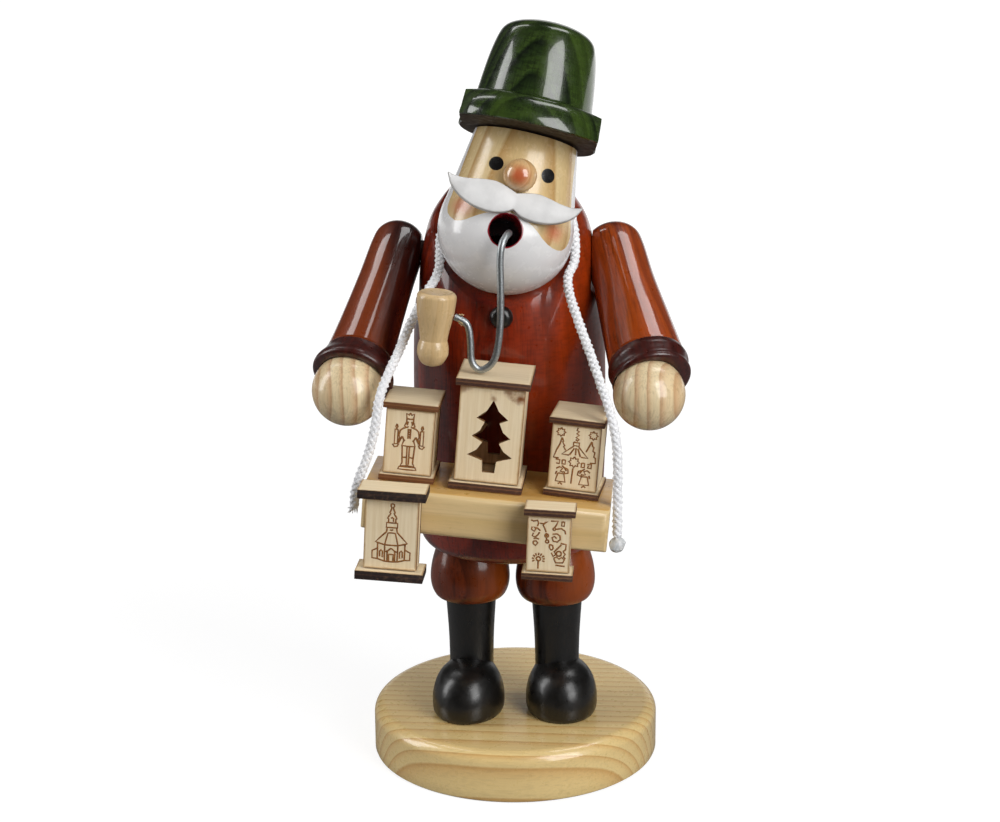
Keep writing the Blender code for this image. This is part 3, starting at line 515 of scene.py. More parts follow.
class SmokerStageSettings(bpy.types.PropertyGroup):
    key_power: FloatProperty(
        name="Key light", description="Power of the large softbox at the right", default=9.0, unit="POWER")
    strip_power: FloatProperty(
        name="Strip light", description="Power of the narrow softbox at the left", default=5.0, unit="POWER")
    fill: FloatProperty(
        name="Fill", description="Strength of the plain light from all round", default=0.34, min=0.0)
    focal_mm: FloatProperty(
        name="Focal length", description="Camera focal length on a 36 mm sensor, in mm", default=77.42)


class SmokerWoodSettings(bpy.types.PropertyGroup):
    coat_gloss: FloatProperty(
        name="Coat gloss roughness", description="Roughness of the coat's lacquer", default=0.34, min=0,
        max=1)
    hat_gloss: FloatProperty(
        name="Hat gloss roughness", description="Roughness of the hat's lacquer", default=0.24, min=0,
        max=1)
    paint: FloatVectorProperty(
        name="Beard paint", description="Colour of the white paint, sRGB", subtype="COLOR",
        default=hex_rgb("E6E5E4"))
    blush: FloatVectorProperty(
        name="Blush", description="Colour rubbed on the cheeks, sRGB", subtype="COLOR",
        default=hex_rgb("D9694F"))


class SmokerCordSettings(bpy.types.PropertyGroup):
    strands: IntProperty(
        name="Strands each way", description="Strands that wind each way round the braid", default=4, min=2)
    pitch: FloatProperty(
        name="Pitch", description="Length of one turn of a strand", default=7.2 * MM, unit="LENGTH")
    radius: FloatProperty(
        name="Cord radius", description="Outer radius of the braid", default=1.6 * MM, unit="LENGTH")


# Camera, light and floor

CAMERA_PLACE = (50.21, -638.04, 287.68)
CAMERA_HEADING, CAMERA_PITCH, CAMERA_ROLL = 4.87, 15.45, -0.46
# Lamps stand in metres from a point halfway up the figure
LAMP_AIM = (0, 0, 0.12)
LAMP_DISTANCE = 1.0
# Each softbox's degrees round from the front towards +X, degrees up, and size in metres
KEY_SOFTBOX = (44, 26, (0.5, 0.85))
STRIP_SOFTBOX = (-84, 22, (0.3, 0.85))
# Two reflectors overhead that only the lacquer mirrors, along the sleeves and on the shoes, with their power
REFLECTORS = {"right_reflector": (122, 65, (0.24, 0.45), 1.7), "left_reflector": (-117, 56, (0.1, 0.5), 0.8)}
FLOOR_HALF = 6.0


class SMOKER_OT_stage(bpy.types.Operator):
    """Camera at the picture's viewing angle, two softboxes, two reflectors, a fill and a pale floor"""

    bl_idname = "smoker.stage"
    bl_label = "Stage"

    def execute(self, context):
        settings = context.scene.smoker_stage
        self.place_camera(context.scene, settings.focal_mm)
        self.softbox("key_softbox", *KEY_SOFTBOX, settings.key_power)
        self.softbox("strip_softbox", *STRIP_SOFTBOX, settings.strip_power)
        for name, values in REFLECTORS.items():
            self.softbox(name, *values).visible_diffuse = False
        self.world(context.scene, settings.fill)
        self.floor(context.scene)
        return {"FINISHED"}

    def place_camera(self, scene, focal):
        heading, pitch, roll = radians(CAMERA_HEADING), radians(CAMERA_PITCH), radians(CAMERA_ROLL)
        forward = Vector((-sin(heading) * cos(pitch), cos(heading) * cos(pitch), -sin(pitch)))
        right = Vector((cos(heading), sin(heading), 0))
        up = right.cross(forward)
        right, up = right * cos(roll) + up * sin(roll), up * cos(roll) - right * sin(roll)
        camera = bpy.data.objects.new("camera", bpy.data.cameras.new("camera"))
        camera.data.sensor_width = 36.0
        camera.data.lens = focal
        turn = Matrix((right, up, -forward)).transposed()
        camera.matrix_world = Matrix.Translation(Vector(CAMERA_PLACE) * MM) @ turn.to_4x4()
        scene.collection.objects.link(camera)
        scene.camera = camera
        scene.view_settings.view_transform = "Standard"

    def softbox(self, name, side, lift, size, power):
        """A rectangular lamp that faces the figure."""
        side, lift = radians(side), radians(lift)
        lamp = bpy.data.lights.new(name, "AREA")
        lamp.shape = "RECTANGLE"
        lamp.size, lamp.size_y = size
        lamp.energy = power
        away = Vector((sin(side) * cos(lift), -cos(side) * cos(lift), sin(lift)))
        item = bpy.data.objects.new(name, lamp)
        item.matrix_world = (Matrix.Translation(Vector(LAMP_AIM) + away * LAMP_DISTANCE)
                             @ away.to_track_quat("Z", "Y").to_matrix().to_4x4())
        bpy.context.scene.collection.objects.link(item)
        return item

    def world(self, scene, fill):
        """White for the camera; for glossy and transmission rays, white only straight behind the figure."""
        world = bpy.data.worlds.new("studio")
        world.use_nodes = True
        studio = Nodes(world.node_tree)
        studio.tree.nodes.clear()
        toward = studio.part(studio.add("ShaderNodeTexCoord", take="Generated"), 1)
        camera, mirrored = studio.rays()
        level = studio.either(mirrored, fill, studio.fade(toward, 0.88, 1.0, 0.04, 0.9))
        level = studio.either(camera, level, 1.0)
        back = studio.add("ShaderNodeBackground", None, {"Color": (1, 1, 1, 1), "Strength": level})
        studio.add("ShaderNodeOutputWorld", None, {"Surface": back})
        scene.world = world

    def floor(self, scene):
        bm = bmesh.new()
        bmesh.ops.create_grid(bm, x_segments=4, y_segments=4, size=FLOOR_HALF)
        mesh = bpy.data.meshes.new("floor")
        bm.to_mesh(mesh)
        bm.free()
        floor = bpy.data.objects.new("floor", mesh)
        scene.collection.objects.link(floor)
        sheet = Finish("pale_paper_floor")
        where = sheet.add("ShaderNodeTexCoord", take="Object")
        depth = sheet.part(where, 1)
        # In front of the picture's lower edge the floor is painted dark, as painted shade for the lacquer to
        # mirror
        shade = sheet.mix(sheet.fade(depth, -0.28, -0.1), linear("202020"), linear("8E8E8E"))
        bump = sheet.bump(sheet.noise(where, 400.0), 0.02)
        paper = sheet.add("ShaderNodeBsdfPrincipled", None,
                          {"Base Color": shade, "Roughness": 0.9, "Specular IOR Level": 0.1, "Normal": bump})
        # White for the camera, and far behind the figure also for glossy and transmission rays
        camera, mirrored = sheet.rays()
        white = sheet.fade(sheet.vector("LENGTH", where), 0.15, 0.8, 0.82, 1.0)
        seen = sheet.maths("MAXIMUM", camera, sheet.maths("MULTIPLY", mirrored, sheet.fade(depth, 0.25, 1.5)))
        glow = sheet.add("ShaderNodeEmission", None,
                         {"Color": (1, 1, 1, 1), "Strength": sheet.maths("MULTIPLY", seen, white)})
        both = sheet.add("ShaderNodeAddShader", None, {0: paper, 1: glow})
        sheet.add("ShaderNodeOutputMaterial", None, {"Surface": both})
        mesh.materials.append(sheet.material)


# Cord

CORD_ROUTE = ((-39.9, -57.0, 99.0), (-39.6, -57.2, 103.0), (-38.3, -57.4, 107.6), (-36.1, -57.2, 113.0),
              (-34.3, -56.9, 119.0), (-33.2, -56.1, 124.6), (-32.5, -54.9, 129.8),
              (-30.9, -51.6, 134.9), (-27.9, -45.6, 141.6), (-24.5, -38.5, 149.6),
              (-20.6, -30.2, 156.8), (-18.6, -25.2, 160.3), (-18.6, -19.2, 164.8),
              (-18.9, -16.0, 168.2), (-17.6, -12.6, 172.4), (-13.8, -8.5, 177.4), (-9.1, -4.8, 181.8),
              (-4.0, -1.8, 185.4), (1.1, 0.0, 187.5), (5.8, 0.4, 188.0), (10.0, -0.5, 186.9),
              (13.5, -2.5, 184.5), (16.3, -5.4, 181.1), (18.5, -9.1, 176.7), (20.2, -13.3, 171.7),
              (20.9, -17.5, 166.7), (20.7, -21.0, 163.0), (19.1, -25.6, 159.4), (19.9, -30.6, 155.5),
              (21.7, -34.9, 151.4), (23.8, -39.0, 146.8), (26.5, -44.0, 141.2), (29.4, -48.8, 134.4),
              (31.6, -52.0, 129.2), (33.1, -54.3, 124.6), (34.2, -55.6, 119.6), (34.7, -56.0, 112.6),
              (34.7, -56.0, 104.4), (34.7, -56.0, 97.0), (34.7, -56.0, 91.5))
# A strand's and the core's share of the cord's radius
STRAND_SHARE = 0.39
CORE_SHARE = 0.6
# Distance between two points of a strand
BRAID_STEP = 0.55
BEAD_RADIUS = 2.3


def braid_tree():
    """Strands wound both ways round a path, each passing over one strand and under the next."""
    tree = bpy.data.node_groups.new("braided_cord", "GeometryNodeTree")
    face = tree.interface
    face.new_socket("Geometry", in_out="INPUT", socket_type="NodeSocketGeometry")
    for name in ("Cord radius", "Strand radius", "Pitch", "Step"):
        face.new_socket(name, in_out="INPUT", socket_type="NodeSocketFloat")
    face.new_socket("Strands each way", in_out="INPUT", socket_type="NodeSocketInt")
    face.new_socket("Finish", in_out="INPUT", socket_type="NodeSocketMaterial")
    face.new_socket("Geometry", in_out="OUTPUT", socket_type="NodeSocketGeometry")
    given = tree.nodes.new("NodeGroupInput").outputs
    thick, each_way = given["Strand radius"], given["Strands each way"]
    braid = Nodes(tree)
    maths = braid.maths
    line = braid.add("GeometryNodeResampleCurve", {"mode": "LENGTH"},
                     {"Curve": given["Geometry"], "Length": given["Step"]})
    line = braid.add("GeometryNodeSetCurveNormal", {"mode": "MINIMUM_TWIST"}, {"Curve": line})
    copies = tree.nodes.new("GeometryNodeDuplicateElements")
    copies.domain = "SPLINE"
    tree.links.new(line, copies.inputs["Geometry"])
    tree.links.new(maths("MULTIPLY", each_way, 2.0), copies.inputs["Amount"])
    number = copies.outputs["Duplicate Index"]
    hand = maths("MULTIPLY_ADD", maths("MODULO", number, 2.0), -2.0, 1.0)
    share = maths("DIVIDE", maths("FLOOR", maths("DIVIDE", number, 2.0)), each_way)
    turns = maths("DIVIDE", braid.add("GeometryNodeSplineParameter", take="Length"), given["Pitch"])
    angle = maths("MULTIPLY", maths("MULTIPLY_ADD", turns, hand, share), 2 * pi)
    phase = maths("MULTIPLY", maths("MULTIPLY", turns, each_way), 2 * pi)
    over = maths("MULTIPLY", maths("COSINE", phase), hand)
    inner = maths("MULTIPLY_ADD", thick, -1.6, given["Cord radius"])
    radius = maths("MULTIPLY_ADD", over, maths("MULTIPLY", thick, 0.6), inner)
    normal = braid.add("GeometryNodeInputNormal")
    side = braid.vector("CROSS_PRODUCT", braid.add("GeometryNodeInputTangent"), normal)
    outward = braid.vector("ADD", braid.scaled(normal, maths("COSINE", angle)),
                           braid.scaled(side, maths("SINE", angle)))
    strands = braid.add("GeometryNodeSetPosition", None,
                        {"Geometry": copies.outputs["Geometry"], "Offset": braid.scaled(outward, radius)})
    section = braid.add("GeometryNodeCurvePrimitiveCircle", None, {"Resolution": 7, "Radius": thick})
    skin = braid.add("GeometryNodeCurveToMesh", None,
                     {"Curve": strands, "Profile Curve": section, "Fill Caps": True})
    skin = braid.add("GeometryNodeSetShadeSmooth", None, {"Geometry": skin})
    skin = braid.add("GeometryNodeRealizeInstances", None, {"Geometry": skin})
    skin = braid.add("GeometryNodeSetMaterial", None, {"Geometry": skin, "Material": given["Finish"]})
    tree.links.new(skin, tree.nodes.new("NodeGroupOutput").inputs["Geometry"])
    return tree


def curve_object(name, lines, radius, sides=2):
    """One curve object with a straight-jointed spline for each line of points."""
    curve = bpy.data.curves.new(name, "CURVE")
    curve.dimensions = "3D"
    curve.bevel_depth = radius * MM
    curve.bevel_resolution = sides
    curve.use_fill_caps = radius > 0
    for line in lines:
        spline = curve.splines.new("POLY")
        spline.points.add(len(line) - 1)
        for point, place in zip(spline.points, line):
            point.co = (*((Vector(place) + FIGURE.translation) * MM), 1)
    item = bpy.data.objects.new(name, curve)
    bpy.context.scene.collection.objects.link(item)
    return item


def mesh_in_place(item, name):
    """A mesh object of what a curve object makes, in its place."""
    mesh = evaluated_mesh(item)
    curve = item.data
    bpy.data.objects.remove(item)
    bpy.data.curves.remove(curve)
    mesh.name = name
    made = bpy.data.objects.new(name, mesh)
    bpy.context.scene.collection.objects.link(made)
    return made


def tubes(name, lines, radius, finish, sides=2):
    """A mesh of round tubes along the lines."""
    item = mesh_in_place(curve_object(name, lines, radius, sides), name)
    item.data.materials.clear()
    item.data.materials.append(finish)
    item.data.shade_smooth()
    return item


class SMOKER_OT_cord(bpy.types.Operator):
    """White braided cord from the tray's left end round the neck to its right end"""

    bl_idname = "smoker.cord"
    bl_label = "Neck cord"

    def execute(self, context):
        settings = context.scene.smoker_cord
        route = smooth_curve(CORD_ROUTE, 6)
        finish = even("white_cord", "braided_polyester")
        guide = curve_object("cord_guide", [route], 0)
        modifier = guide.modifiers.new("braid", "NODES")
        modifier.node_group = braid_tree()
        named = {item.name: item.identifier for item in modifier.node_group.interface.items_tree
                 if item.in_out == "INPUT"}
        values = {"Cord radius": settings.radius, "Strand radius": settings.radius * STRAND_SHARE,
                  "Pitch": settings.pitch, "Step": BRAID_STEP * MM, "Strands each way": settings.strands,
                  "Finish": finish}
        for name, value in values.items():
            modifier[named[name]] = value
        bpy.context.view_layer.update()
        cord = hand_over(mesh_in_place(guide, "braided_cord"), "coat", "cord_white", "neck_cord")
        # A core keeps light from showing through between the strands
        core = tubes("cord_core", [route[1:-1]], settings.radius / MM * CORE_SHARE, finish)
        hand_over(core, "coat", "cord_white")
        bead = self.bead()
        fray = self.fray(route[0], finish)
        return {"FINISHED"}

    def bead(self):
        """The drop at the right end, slightly lumpy."""
        x, y, z = CORD_ROUTE[-1]
        levels, points = 12, 28
        rings = [[(0, 0, -BEAD_RADIUS)]]
        for i in range(1, levels):
            a = -pi / 2 + pi * i / levels
            wide = BEAD_RADIUS * cos(a) * (1 + 0.06 * sin(3.1 * i))
            rings.append([(wide * cos(t) * (1 + 0.07 * sin(2 * t + i)) + 0.25 * sin(a), wide * sin(t),
                           BEAD_RADIUS * sin(a)) for t in (2 * pi * k / points for k in range(points))])
        rings.append([(0, 0, BEAD_RADIUS)])
        bead = new_object("cord_end_drop", rings_to_mesh(rings), moved(x, y, z - GAP - BEAD_RADIUS),
                          [even("melted_bead", "glue_drop")], 80)
        return hand_over(bead, "coat", "cord_white", "cord_end_bead")

    def fray(self, end, finish):
        """Cut filaments at the left end, splayed downwards."""
        chance = random.Random(7)
        lines = []
        for _ in range(34):
            turn, spread = chance.uniform(0, 2 * pi), chance.uniform(0.3, 1.5)
            down = chance.uniform(0.8, 2.3)
            off_centre = Vector((cos(turn), sin(turn), 0)) * 0.9 * chance.random()
            start = Vector(end) + off_centre + Vector((0, 0, 0.5))
            stop = start + Vector((cos(turn) * spread * 0.8 - 0.5, sin(turn) * spread * 0.6, -down))
            middle = start.lerp(stop, 0.5) + Vector((0, 0, -0.2))
            lines.append([tuple(start), tuple(middle), tuple(stop)])
        return hand_over(tubes("cord_frayed_end", lines, 0.11, finish, 1), "coat", "cord_white")


# Base and legs

BASE_RADIUS = 45.0
BASE_ROUND = 3.8
SHOE_HALF_WIDTH, SHOE_HALF_LENGTH = 11.2, 14.0
SHOE_TOE_OUT = 7.0
# Where each shoe stands, beside and in front of the figure's axis, and where its boot and breeches do
SHOE_PLACE = {"left": (-13.1, 6.3), "right": (16.0, 3.6)}
BOOT_X = {"left": -12.6, "right": 14.4}
LEG_X = {"left": -12.8, "right": 13.9}
# A shoe's dome, as (share of its half width, height)
SHOE_DOME = ((0.93, 0.0), (0.98, 1.1), (1.0, 3.4), (0.99, 6.0), (0.94, 8.8), (0.85, 11.4), (0.71, 13.6),
             (0.5, 15.4), (0.25, 16.4), (0.0, 16.7))
# Inside the boot's shaft, which the dome meets in a crease
SHOE_INSTEP = 6.4
SHAFT_RADIUS = 6.85
SHAFT_FOOT_Z = BASE_HEIGHT + GAP + 5.3
SHAFT_TOP_Z = 51.7
BREECHES_SIDE = ((7.9, 0), (9.3, 0.2), (10.8, 1.15), (12.0, 3.6), (12.4, 7.0), (11.9, 11.3), (10.8, 15.4),
                 (9.8, 18.8))
BREECHES_Z = 52.0


class SMOKER_OT_base(bpy.types.Operator):
    """Round pine base with its rounded upper edge"""

    bl_idname = "smoker.base"
    bl_label = "Base"

    def execute(self, context):
        radius = BASE_RADIUS
        outline = [(0, 0), (radius - 1.4, 0), (radius - 0.8, 0.1), (radius - 0.25, 0.5), (radius, 1.1)]
        outline += [(radius, z) for z in (4, 8, 12)]
        outline += arc((radius - BASE_ROUND, BASE_HEIGHT - BASE_ROUND), BASE_ROUND, 4, 90, 14)
        outline += [(30, BASE_HEIGHT), (15, BASE_HEIGHT), (0, BASE_HEIGHT)]
        place = FIGURE.inverted()
        # The pith lies below the front edge, so the rings arch over the front and run straight across the top
        look = dict(pith=(14.0, -50.0), ring=3.4, core=26.8, core_ring=10.0, wobble=1.2, wander=0.02,
                    fibre=0.2, stops=PINE_STOPS)
        finish = wooden("lacquered_pine_base", place @ ALONG_X, look, rough=0.3, coat=0.6, coat_rough=0.1,
                        depth=0.012)
        base = new_object("turned_base", lathe(outline, 160), place, [finish], 30)
        hand_over(base, "base", "pine", "base_disc")
        return {"FINISHED"}


def shoe_reach(angle, share, centre, toe_out):
    """How far a ray from the shaft's axis runs before it leaves the shoe's ellipse; nothing if it misses."""
    turn = Matrix.Rotation(-toe_out, 2)
    start, along = turn @ -Vector(centre), turn @ Vector((cos(angle), sin(angle)))
    wide, long = SHOE_HALF_WIDTH * share + 1e-6, SHOE_HALF_LENGTH * share + 1e-6
    a = (along.x / wide) ** 2 + (along.y / long) ** 2
    b = start.x * along.x / wide ** 2 + start.y * along.y / long ** 2
    c = (start.x / wide) ** 2 + (start.y / long) ** 2 - 1
    under = b * b - a * c
    return max(0.0, (under ** 0.5 - b) / a) if under > 0 else 0.0


class SMOKER_OT_legs(bpy.types.Operator):
    """Black shoes and boot shafts, and the stained breeches above them"""

    bl_idname = "smoker.legs"
    bl_label = "Legs"

    def execute(self, context):
        for name, side in SIDES:
            shoe_x, forward = SHOE_PLACE[name]
            centre = (shoe_x - BOOT_X[name], -forward)
            place = moved(BOOT_X[name], 0, BASE_HEIGHT + GAP)
            rings = []
            for share, z in smooth_curve(SHOE_DOME, 4) + [(0, 17.4), (0, 18.3)]:
                ring = []
                for a in (2 * pi * k / 96 for k in range(96)):
                    toe = shoe_reach(a, max(share, 0.0), centre, side * radians(SHOE_TOE_OUT))
                    r = (toe ** 11 + SHOE_INSTEP ** 11) ** (1 / 11)
                    ring.append((r * cos(a), r * sin(a), z))
                rings.append(ring)
            shoe = new_object(f"{name}_round_shoe", rings_to_mesh(rings), place,
                              [black_lacquer(f"{name}_shoe_black", place)], 50)
            hand_over(shoe, "base", "black_lacquer", f"{name}_shoe")

            rise = SHAFT_TOP_Z - SHAFT_FOOT_Z
            wall = smooth_curve([(SHAFT_RADIUS, 6), (7.1, rise * 0.6), (7.8, rise - 0.5), (7.65, rise)], 6)
            outline = [(0, 0), (SHAFT_RADIUS, 0)] + wall + [(0, rise)]
            place = moved(BOOT_X[name], 0, SHAFT_FOOT_Z)
            shaft = new_object(f"{name}_turned_shaft", lathe(outline, 72), place,
                               [black_lacquer(f"{name}_shaft_black", place)], 50)
            hand_over(shaft, "base", "black_lacquer", f"{name}_boot_shaft")

            outline = [(0, 0)] + smooth_curve(BREECHES_SIDE, 6) + [(0, BREECHES_SIDE[-1][1])]
            place = moved(LEG_X[name], 0, BREECHES_Z)
            # The glow is painted light: each leg turns orange towards its right side, where the key light
            # falls
            look = dict(pith=(-side * 22.0, 30.0), ring=3.4, wobble=2.2, fibre=0.8, blotch=0.35,
                        blotch_colour="7C3612", glow=((1, -0.3, 0), 3, 14, "A44E14", 0.55),
                        stops=((0.0, "702E10"), (0.45, "62260E"), (0.85, "4C1C0A"), (1.0, "6C2B0F")))
            finish = wooden(f"{name}_breeches_stain", place, look, rough=0.34, coat=0.45, coat_rough=0.13,
                            depth=0.02, specular=0.2)
            breeches = new_object(f"{name}_turned_breeches", lathe(outline, 96), place, [finish], 50)
            hand_over(breeches, "base", "coat_stain", f"{name}_breeches")
        return {"FINISHED"}


# Coat

# The coat's side from the seam up, as (distance inside its radius, distance below its top)
COAT_SIDE = ((0.0, 86.0), (0.1, 58.0), (0.85, 42.5), (2.8, 28.0), (5.4, 16.8), (9.2, 10.0), (13.6, 5.4),
             (20.7, 1.3))
HEM_FOOT_Z = 71.1
HEM_RADIUS = 28.5
SPIGOT_RADIUS = 20.0
SPIGOT_HEIGHT = 4.3
CHAMBER_RADIUS = 17.0
CHAMBER_HEIGHT = 46.0
CHAMBER_DOME = 10.2
DRAUGHT_Z = COAT_SPLIT_Z + 12
SHOULDER_FACE_RADIUS = 14.5
BUTTON_Z = 148.0
BUTTON_RADIUS = 3.4
DISH_Z = 90


def coat_side():
    side = [(COAT_RADIUS - inward, COAT_TOP_Z - down) for inward, down in COAT_SIDE]
    return smooth_curve([(28.55, COAT_SPLIT_Z + GAP / 2)] + side + [(0, COAT_TOP_Z)], 8)


class SMOKER_OT_coat(bpy.types.Operator):
    """The coat's two turned parts, its button, and the dish, tack and dowels inside"""

    bl_idname = "smoker.coat"
    bl_label = "Coat"

    def execute(self, context):
        gloss = context.scene.smoker_wood.coat_gloss
        # The glow is painted light: the coat turns paler orange towards its right side, where the key light
        # falls
        look = dict(pith=(14.0, 38.0), ring=4.2, taper=0.05, wobble=3.0, fibre=0.9, ripple=0.25, blotch=0.35,
                    blotch_colour="96320A", glow=((1, -0.25, 0), 3, 27, "AC3E08", 0.45), stops=COAT_STOPS)
        stain = wooden("coat_red_brown_stain_painted_light", Matrix(), look, rough=gloss, coat=0.6, coat_rough=0.09,
                       depth=0.02, specular=0.2)
        # The hem keeps the coat's glow, the same painted light on its right side
        look = dict(look, pith=(20.0, 30.0), blotch_colour="7A2C1A",
                    stops=((0.0, "82260F"), (0.5, "741E0C"), (0.85, "5C1409"), (1.0, "7D240E")))
        hem = wooden("hem_red_brown_stain_painted_light", Matrix(), look, rough=0.3, coat=0.6, coat_rough=0.09, depth=0.02,
                     specular=0.2)
        self.lower_part(hem)
        self.upper_part(stain)
        self.button()
        self.inner_pieces()
        return {"FINISHED"}

    def lower_part(self, stain):
        low, top = HEM_FOOT_Z, COAT_SPLIT_Z - GAP / 2
        side = smooth_curve([(23.9, low), (25.2, low + 0.35), (26.8, low + 1.8), (27.8, low + 4.6),
                             (HEM_RADIUS, top)], 8)
        spigot = [(SPIGOT_RADIUS, top), (SPIGOT_RADIUS, top + SPIGOT_HEIGHT - 0.3),
                  (SPIGOT_RADIUS - 0.3, top + SPIGOT_HEIGHT), (0, top + SPIGOT_HEIGHT)]
        outline = [(0, low)] + side + spigot
        lower = new_object("coat_hem_part", lathe(outline, 128), None, [stain], 40)
        hand_over(lower, "base", "coat_stain", "lower_body")

    def upper_part(self, stain):
        look = dict(fibre=0.5, stops=((0.0, "8A6A44"), (0.8, "6E5234"), (1.0, "806040")))
        raw = wooden("bare_bore_wood", Matrix(), look, rough=0.6, coat=0.0, depth=0.05)
        low = COAT_SPLIT_Z + GAP / 2
        step = low + SPIGOT_HEIGHT + 0.3
        spring = COAT_SPLIT_Z + CHAMBER_HEIGHT - CHAMBER_DOME
        dome = [(CHAMBER_RADIUS * r, spring + CHAMBER_DOME * z) for r, z in arc((0, 0), 1, 0, 90, 12)]
        dome[-1] = (0, spring + CHAMBER_DOME)
        socket = SPIGOT_RADIUS + 0.3
        outline = coat_side()[::-1] + [(socket, low), (socket, step), (CHAMBER_RADIUS, step)] + dome
        upper = new_object("coat_upper_part", lathe(outline, 128), None, [stain])
        cutters = [(block((120, 120, 120), (0, 0, 60)), NECK_FRAME, stain),
                   (rod(*SMOKE_BORE), None, raw),
                   (rod(3.5, (0, 13, DRAUGHT_Z), (0, 33.2, DRAUGHT_Z)), None, raw),
                   (rod(TRAY_HOLE, (0, -20.9, TRAY_Z), (0, -34.2, TRAY_Z)), None, raw)]
        for name, side in SIDES:
            inner, face, outer, end = (side * (FACE_X[name] + out) for out in (-6.1, 0, 8, 12))
            flat = rod(SHOULDER_FACE_RADIUS, (face, 0, SHOULDER_Z), (end, 0, SHOULDER_Z), 96)
            hole = rod(DOWEL_HOLE, (inner, 0, SHOULDER_Z), (outer, 0, SHOULDER_Z))
            cutters += [(flat, None, stain), (hole, None, raw)]
        carve(upper, cutters)
        hand_over(upper, "coat", "coat_stain", "upper_body")

    def button(self):
        wall = [(r, h) for r, h in coat_side() if r > 5]
        radius = next(r0 + (r1 - r0) * (BUTTON_Z - z0) / (z1 - z0)
                      for (r0, z0), (r1, z1) in zip(wall, wall[1:]) if z0 <= BUTTON_Z <= z1)
        facing = moved(0, -radius, BUTTON_Z) @ turned("X", 90)
        dome = smooth_curve([(BUTTON_RADIUS, 0), (3.25, 0.75), (2.75, 1.6), (1.75, 2.2), (0, 2.4)], 6)
        button = new_object("coat_round_button", lathe([(0, -1.5), (BUTTON_RADIUS, -1.5)] + dome, 64), facing,
                            [black_lacquer("button_black", facing)], 50)
        chest = lathe([(0, wall[0][1])] + [(r + GAP, h) for r, h in wall] + [(0, wall[-1][1])], 128)
        carve(button, [(chest, None, None)])
        hand_over(button, "coat", "black_lacquer", "coat_button")

    def inner_pieces(self):
        """Finishes for the pieces that keep their solids' own form."""
        dish = moved(0, 0, DISH_Z)
        shoulder = moved(0, 0, SHOULDER_Z) @ ALONG_X
        dark = dict(stops=((0.0, "4A1A0C"), (0.7, "3C1409"), (1.0, "48190B")))
        dull = dict(rough=0.5, coat=0.0)
        finishes = {
            "incense_dish": even("tinned_steel", "browned_tinplate", dish),
            "dish_tack": even("sprung_steel", "tack_steel", dish),
            "tray_dowel": wooden("tray_dowel_beech", moved(0, 0, TRAY_Z) @ turned("X", 90), {}, **dull),
            "left_shoulder_dowel": wooden("left_dowel_stained", shoulder, dark, **dull),
            "right_shoulder_dowel": wooden("right_dowel_stained", shoulder, dark, **dull),
        }
        for node, finish in finishes.items():
            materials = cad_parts[node].data.materials
            materials.clear()
            materials.append(finish)


# Head

BEARD_RADIUS, BEARD_DROP = 19.6, 17.9
CHEEK_RADIUS, CHEEK_W = 19.15, 4.5
HEAD_TOP_RADIUS = 15.2
HEAD_SLOPE = (CHEEK_RADIUS - HEAD_TOP_RADIUS) / (HEAD_TOP - CHEEK_W)
MOUTH_U, MOUTH_W, MOUTH_RADIUS = -1.15, -1.7, 4.6
MOUTH_BACK = 3.9
NOSE_RADIUS = 4.75
NOSE_PLACE = (-0.6, 14.2)
NOSE_STAND = 1.6
# Millimetres round the head for one degree
SKIN_DEGREE = 0.334
# Cheek blushes and eyes, across and up the face, with their sizes
BLUSHES = ((-14.0, 3.0), (12.6, 1.4))
EYES = ((-7.65, 16.55, 2.0, 2.05), (7.35, 16.45, 1.95, 2.1))

# Border of the bare face, as (degrees round the head from straight ahead, height): down the left side, along
# the beard and up the right side
FACE_BORDER = (
    (-75.5, 27.4), (-75, 25), (-73.3, 18), (-71.2, 12.6), (-69.6, 7.3), (-67.7, 2.4), (-64.5, 0.7),
    (-59.5, -0.4), (-51, -1.45), (-45.5, -1.3), (-40, -0.8), (-31, 0.7), (-23.5, 1.9), (-14, 2.9),
    (-2, 3.4), (9, 2.6), (17.1, 1.3), (23, 0.1), (29, -1.4), (36, -2.5), (42.5, -3.05), (50, -3.15),
    (55.8, -2.8), (61, -1.7), (64.4, -0.3), (66.2, 2.2), (65.4, 6), (64.2, 10), (63.8, 14), (65.2, 18.5),
    (69, 23), (72, 26), (73, 27.4))


def head_profile(extra=0.0):
    """The head's outline, grown outwards by the extra."""
    wide, drop = BEARD_RADIUS + extra, BEARD_DROP + extra
    beard = [(wide * r, drop * w) for r, w in arc((0, 0), 1, -90, 0, 40)]
    side = smooth_curve([(BEARD_RADIUS + extra, 0.0), (BEARD_RADIUS + 0.02 + extra, 1.5),
                         (BEARD_RADIUS - 0.12 + extra, 3.0), (CHEEK_RADIUS + extra, CHEEK_W + 0.6)], 3)
    heights = [6 + 21.2 * i / 16 for i in range(16)]
    upper = [(CHEEK_RADIUS - HEAD_SLOPE * (w - CHEEK_W) + extra, w) for w in heights]
    return [(0, -drop)] + beard[1:] + side[1:] + upper + [(HEAD_TOP_RADIUS + extra, HEAD_TOP), (0, HEAD_TOP)]


def border_distance(turn, height):
    """Millimetres from a point of the head's skin to the paint's border: above zero in the paint."""
    point = Vector((turn * SKIN_DEGREE, height))
    line = [Vector((a * SKIN_DEGREE, w)) for a, w in FACE_BORDER]
    nearest = 1e9
    inside = False
    for i in range(len(line)):
        a, b = line[i], line[(i + 1) % len(line)]
        if i < len(line) - 1:
            run = b - a
            t = min(1, max(0, (point - a).dot(run) / run.length_squared))
            nearest = min(nearest, (point - a - run * t).length)
        across = (a.y > point.y) != (b.y > point.y)
        if across and point.x < (b.x - a.x) * (point.y - a.y) / (b.y - a.y) + a.x:
            inside = not inside
    return -nearest if inside else nearest


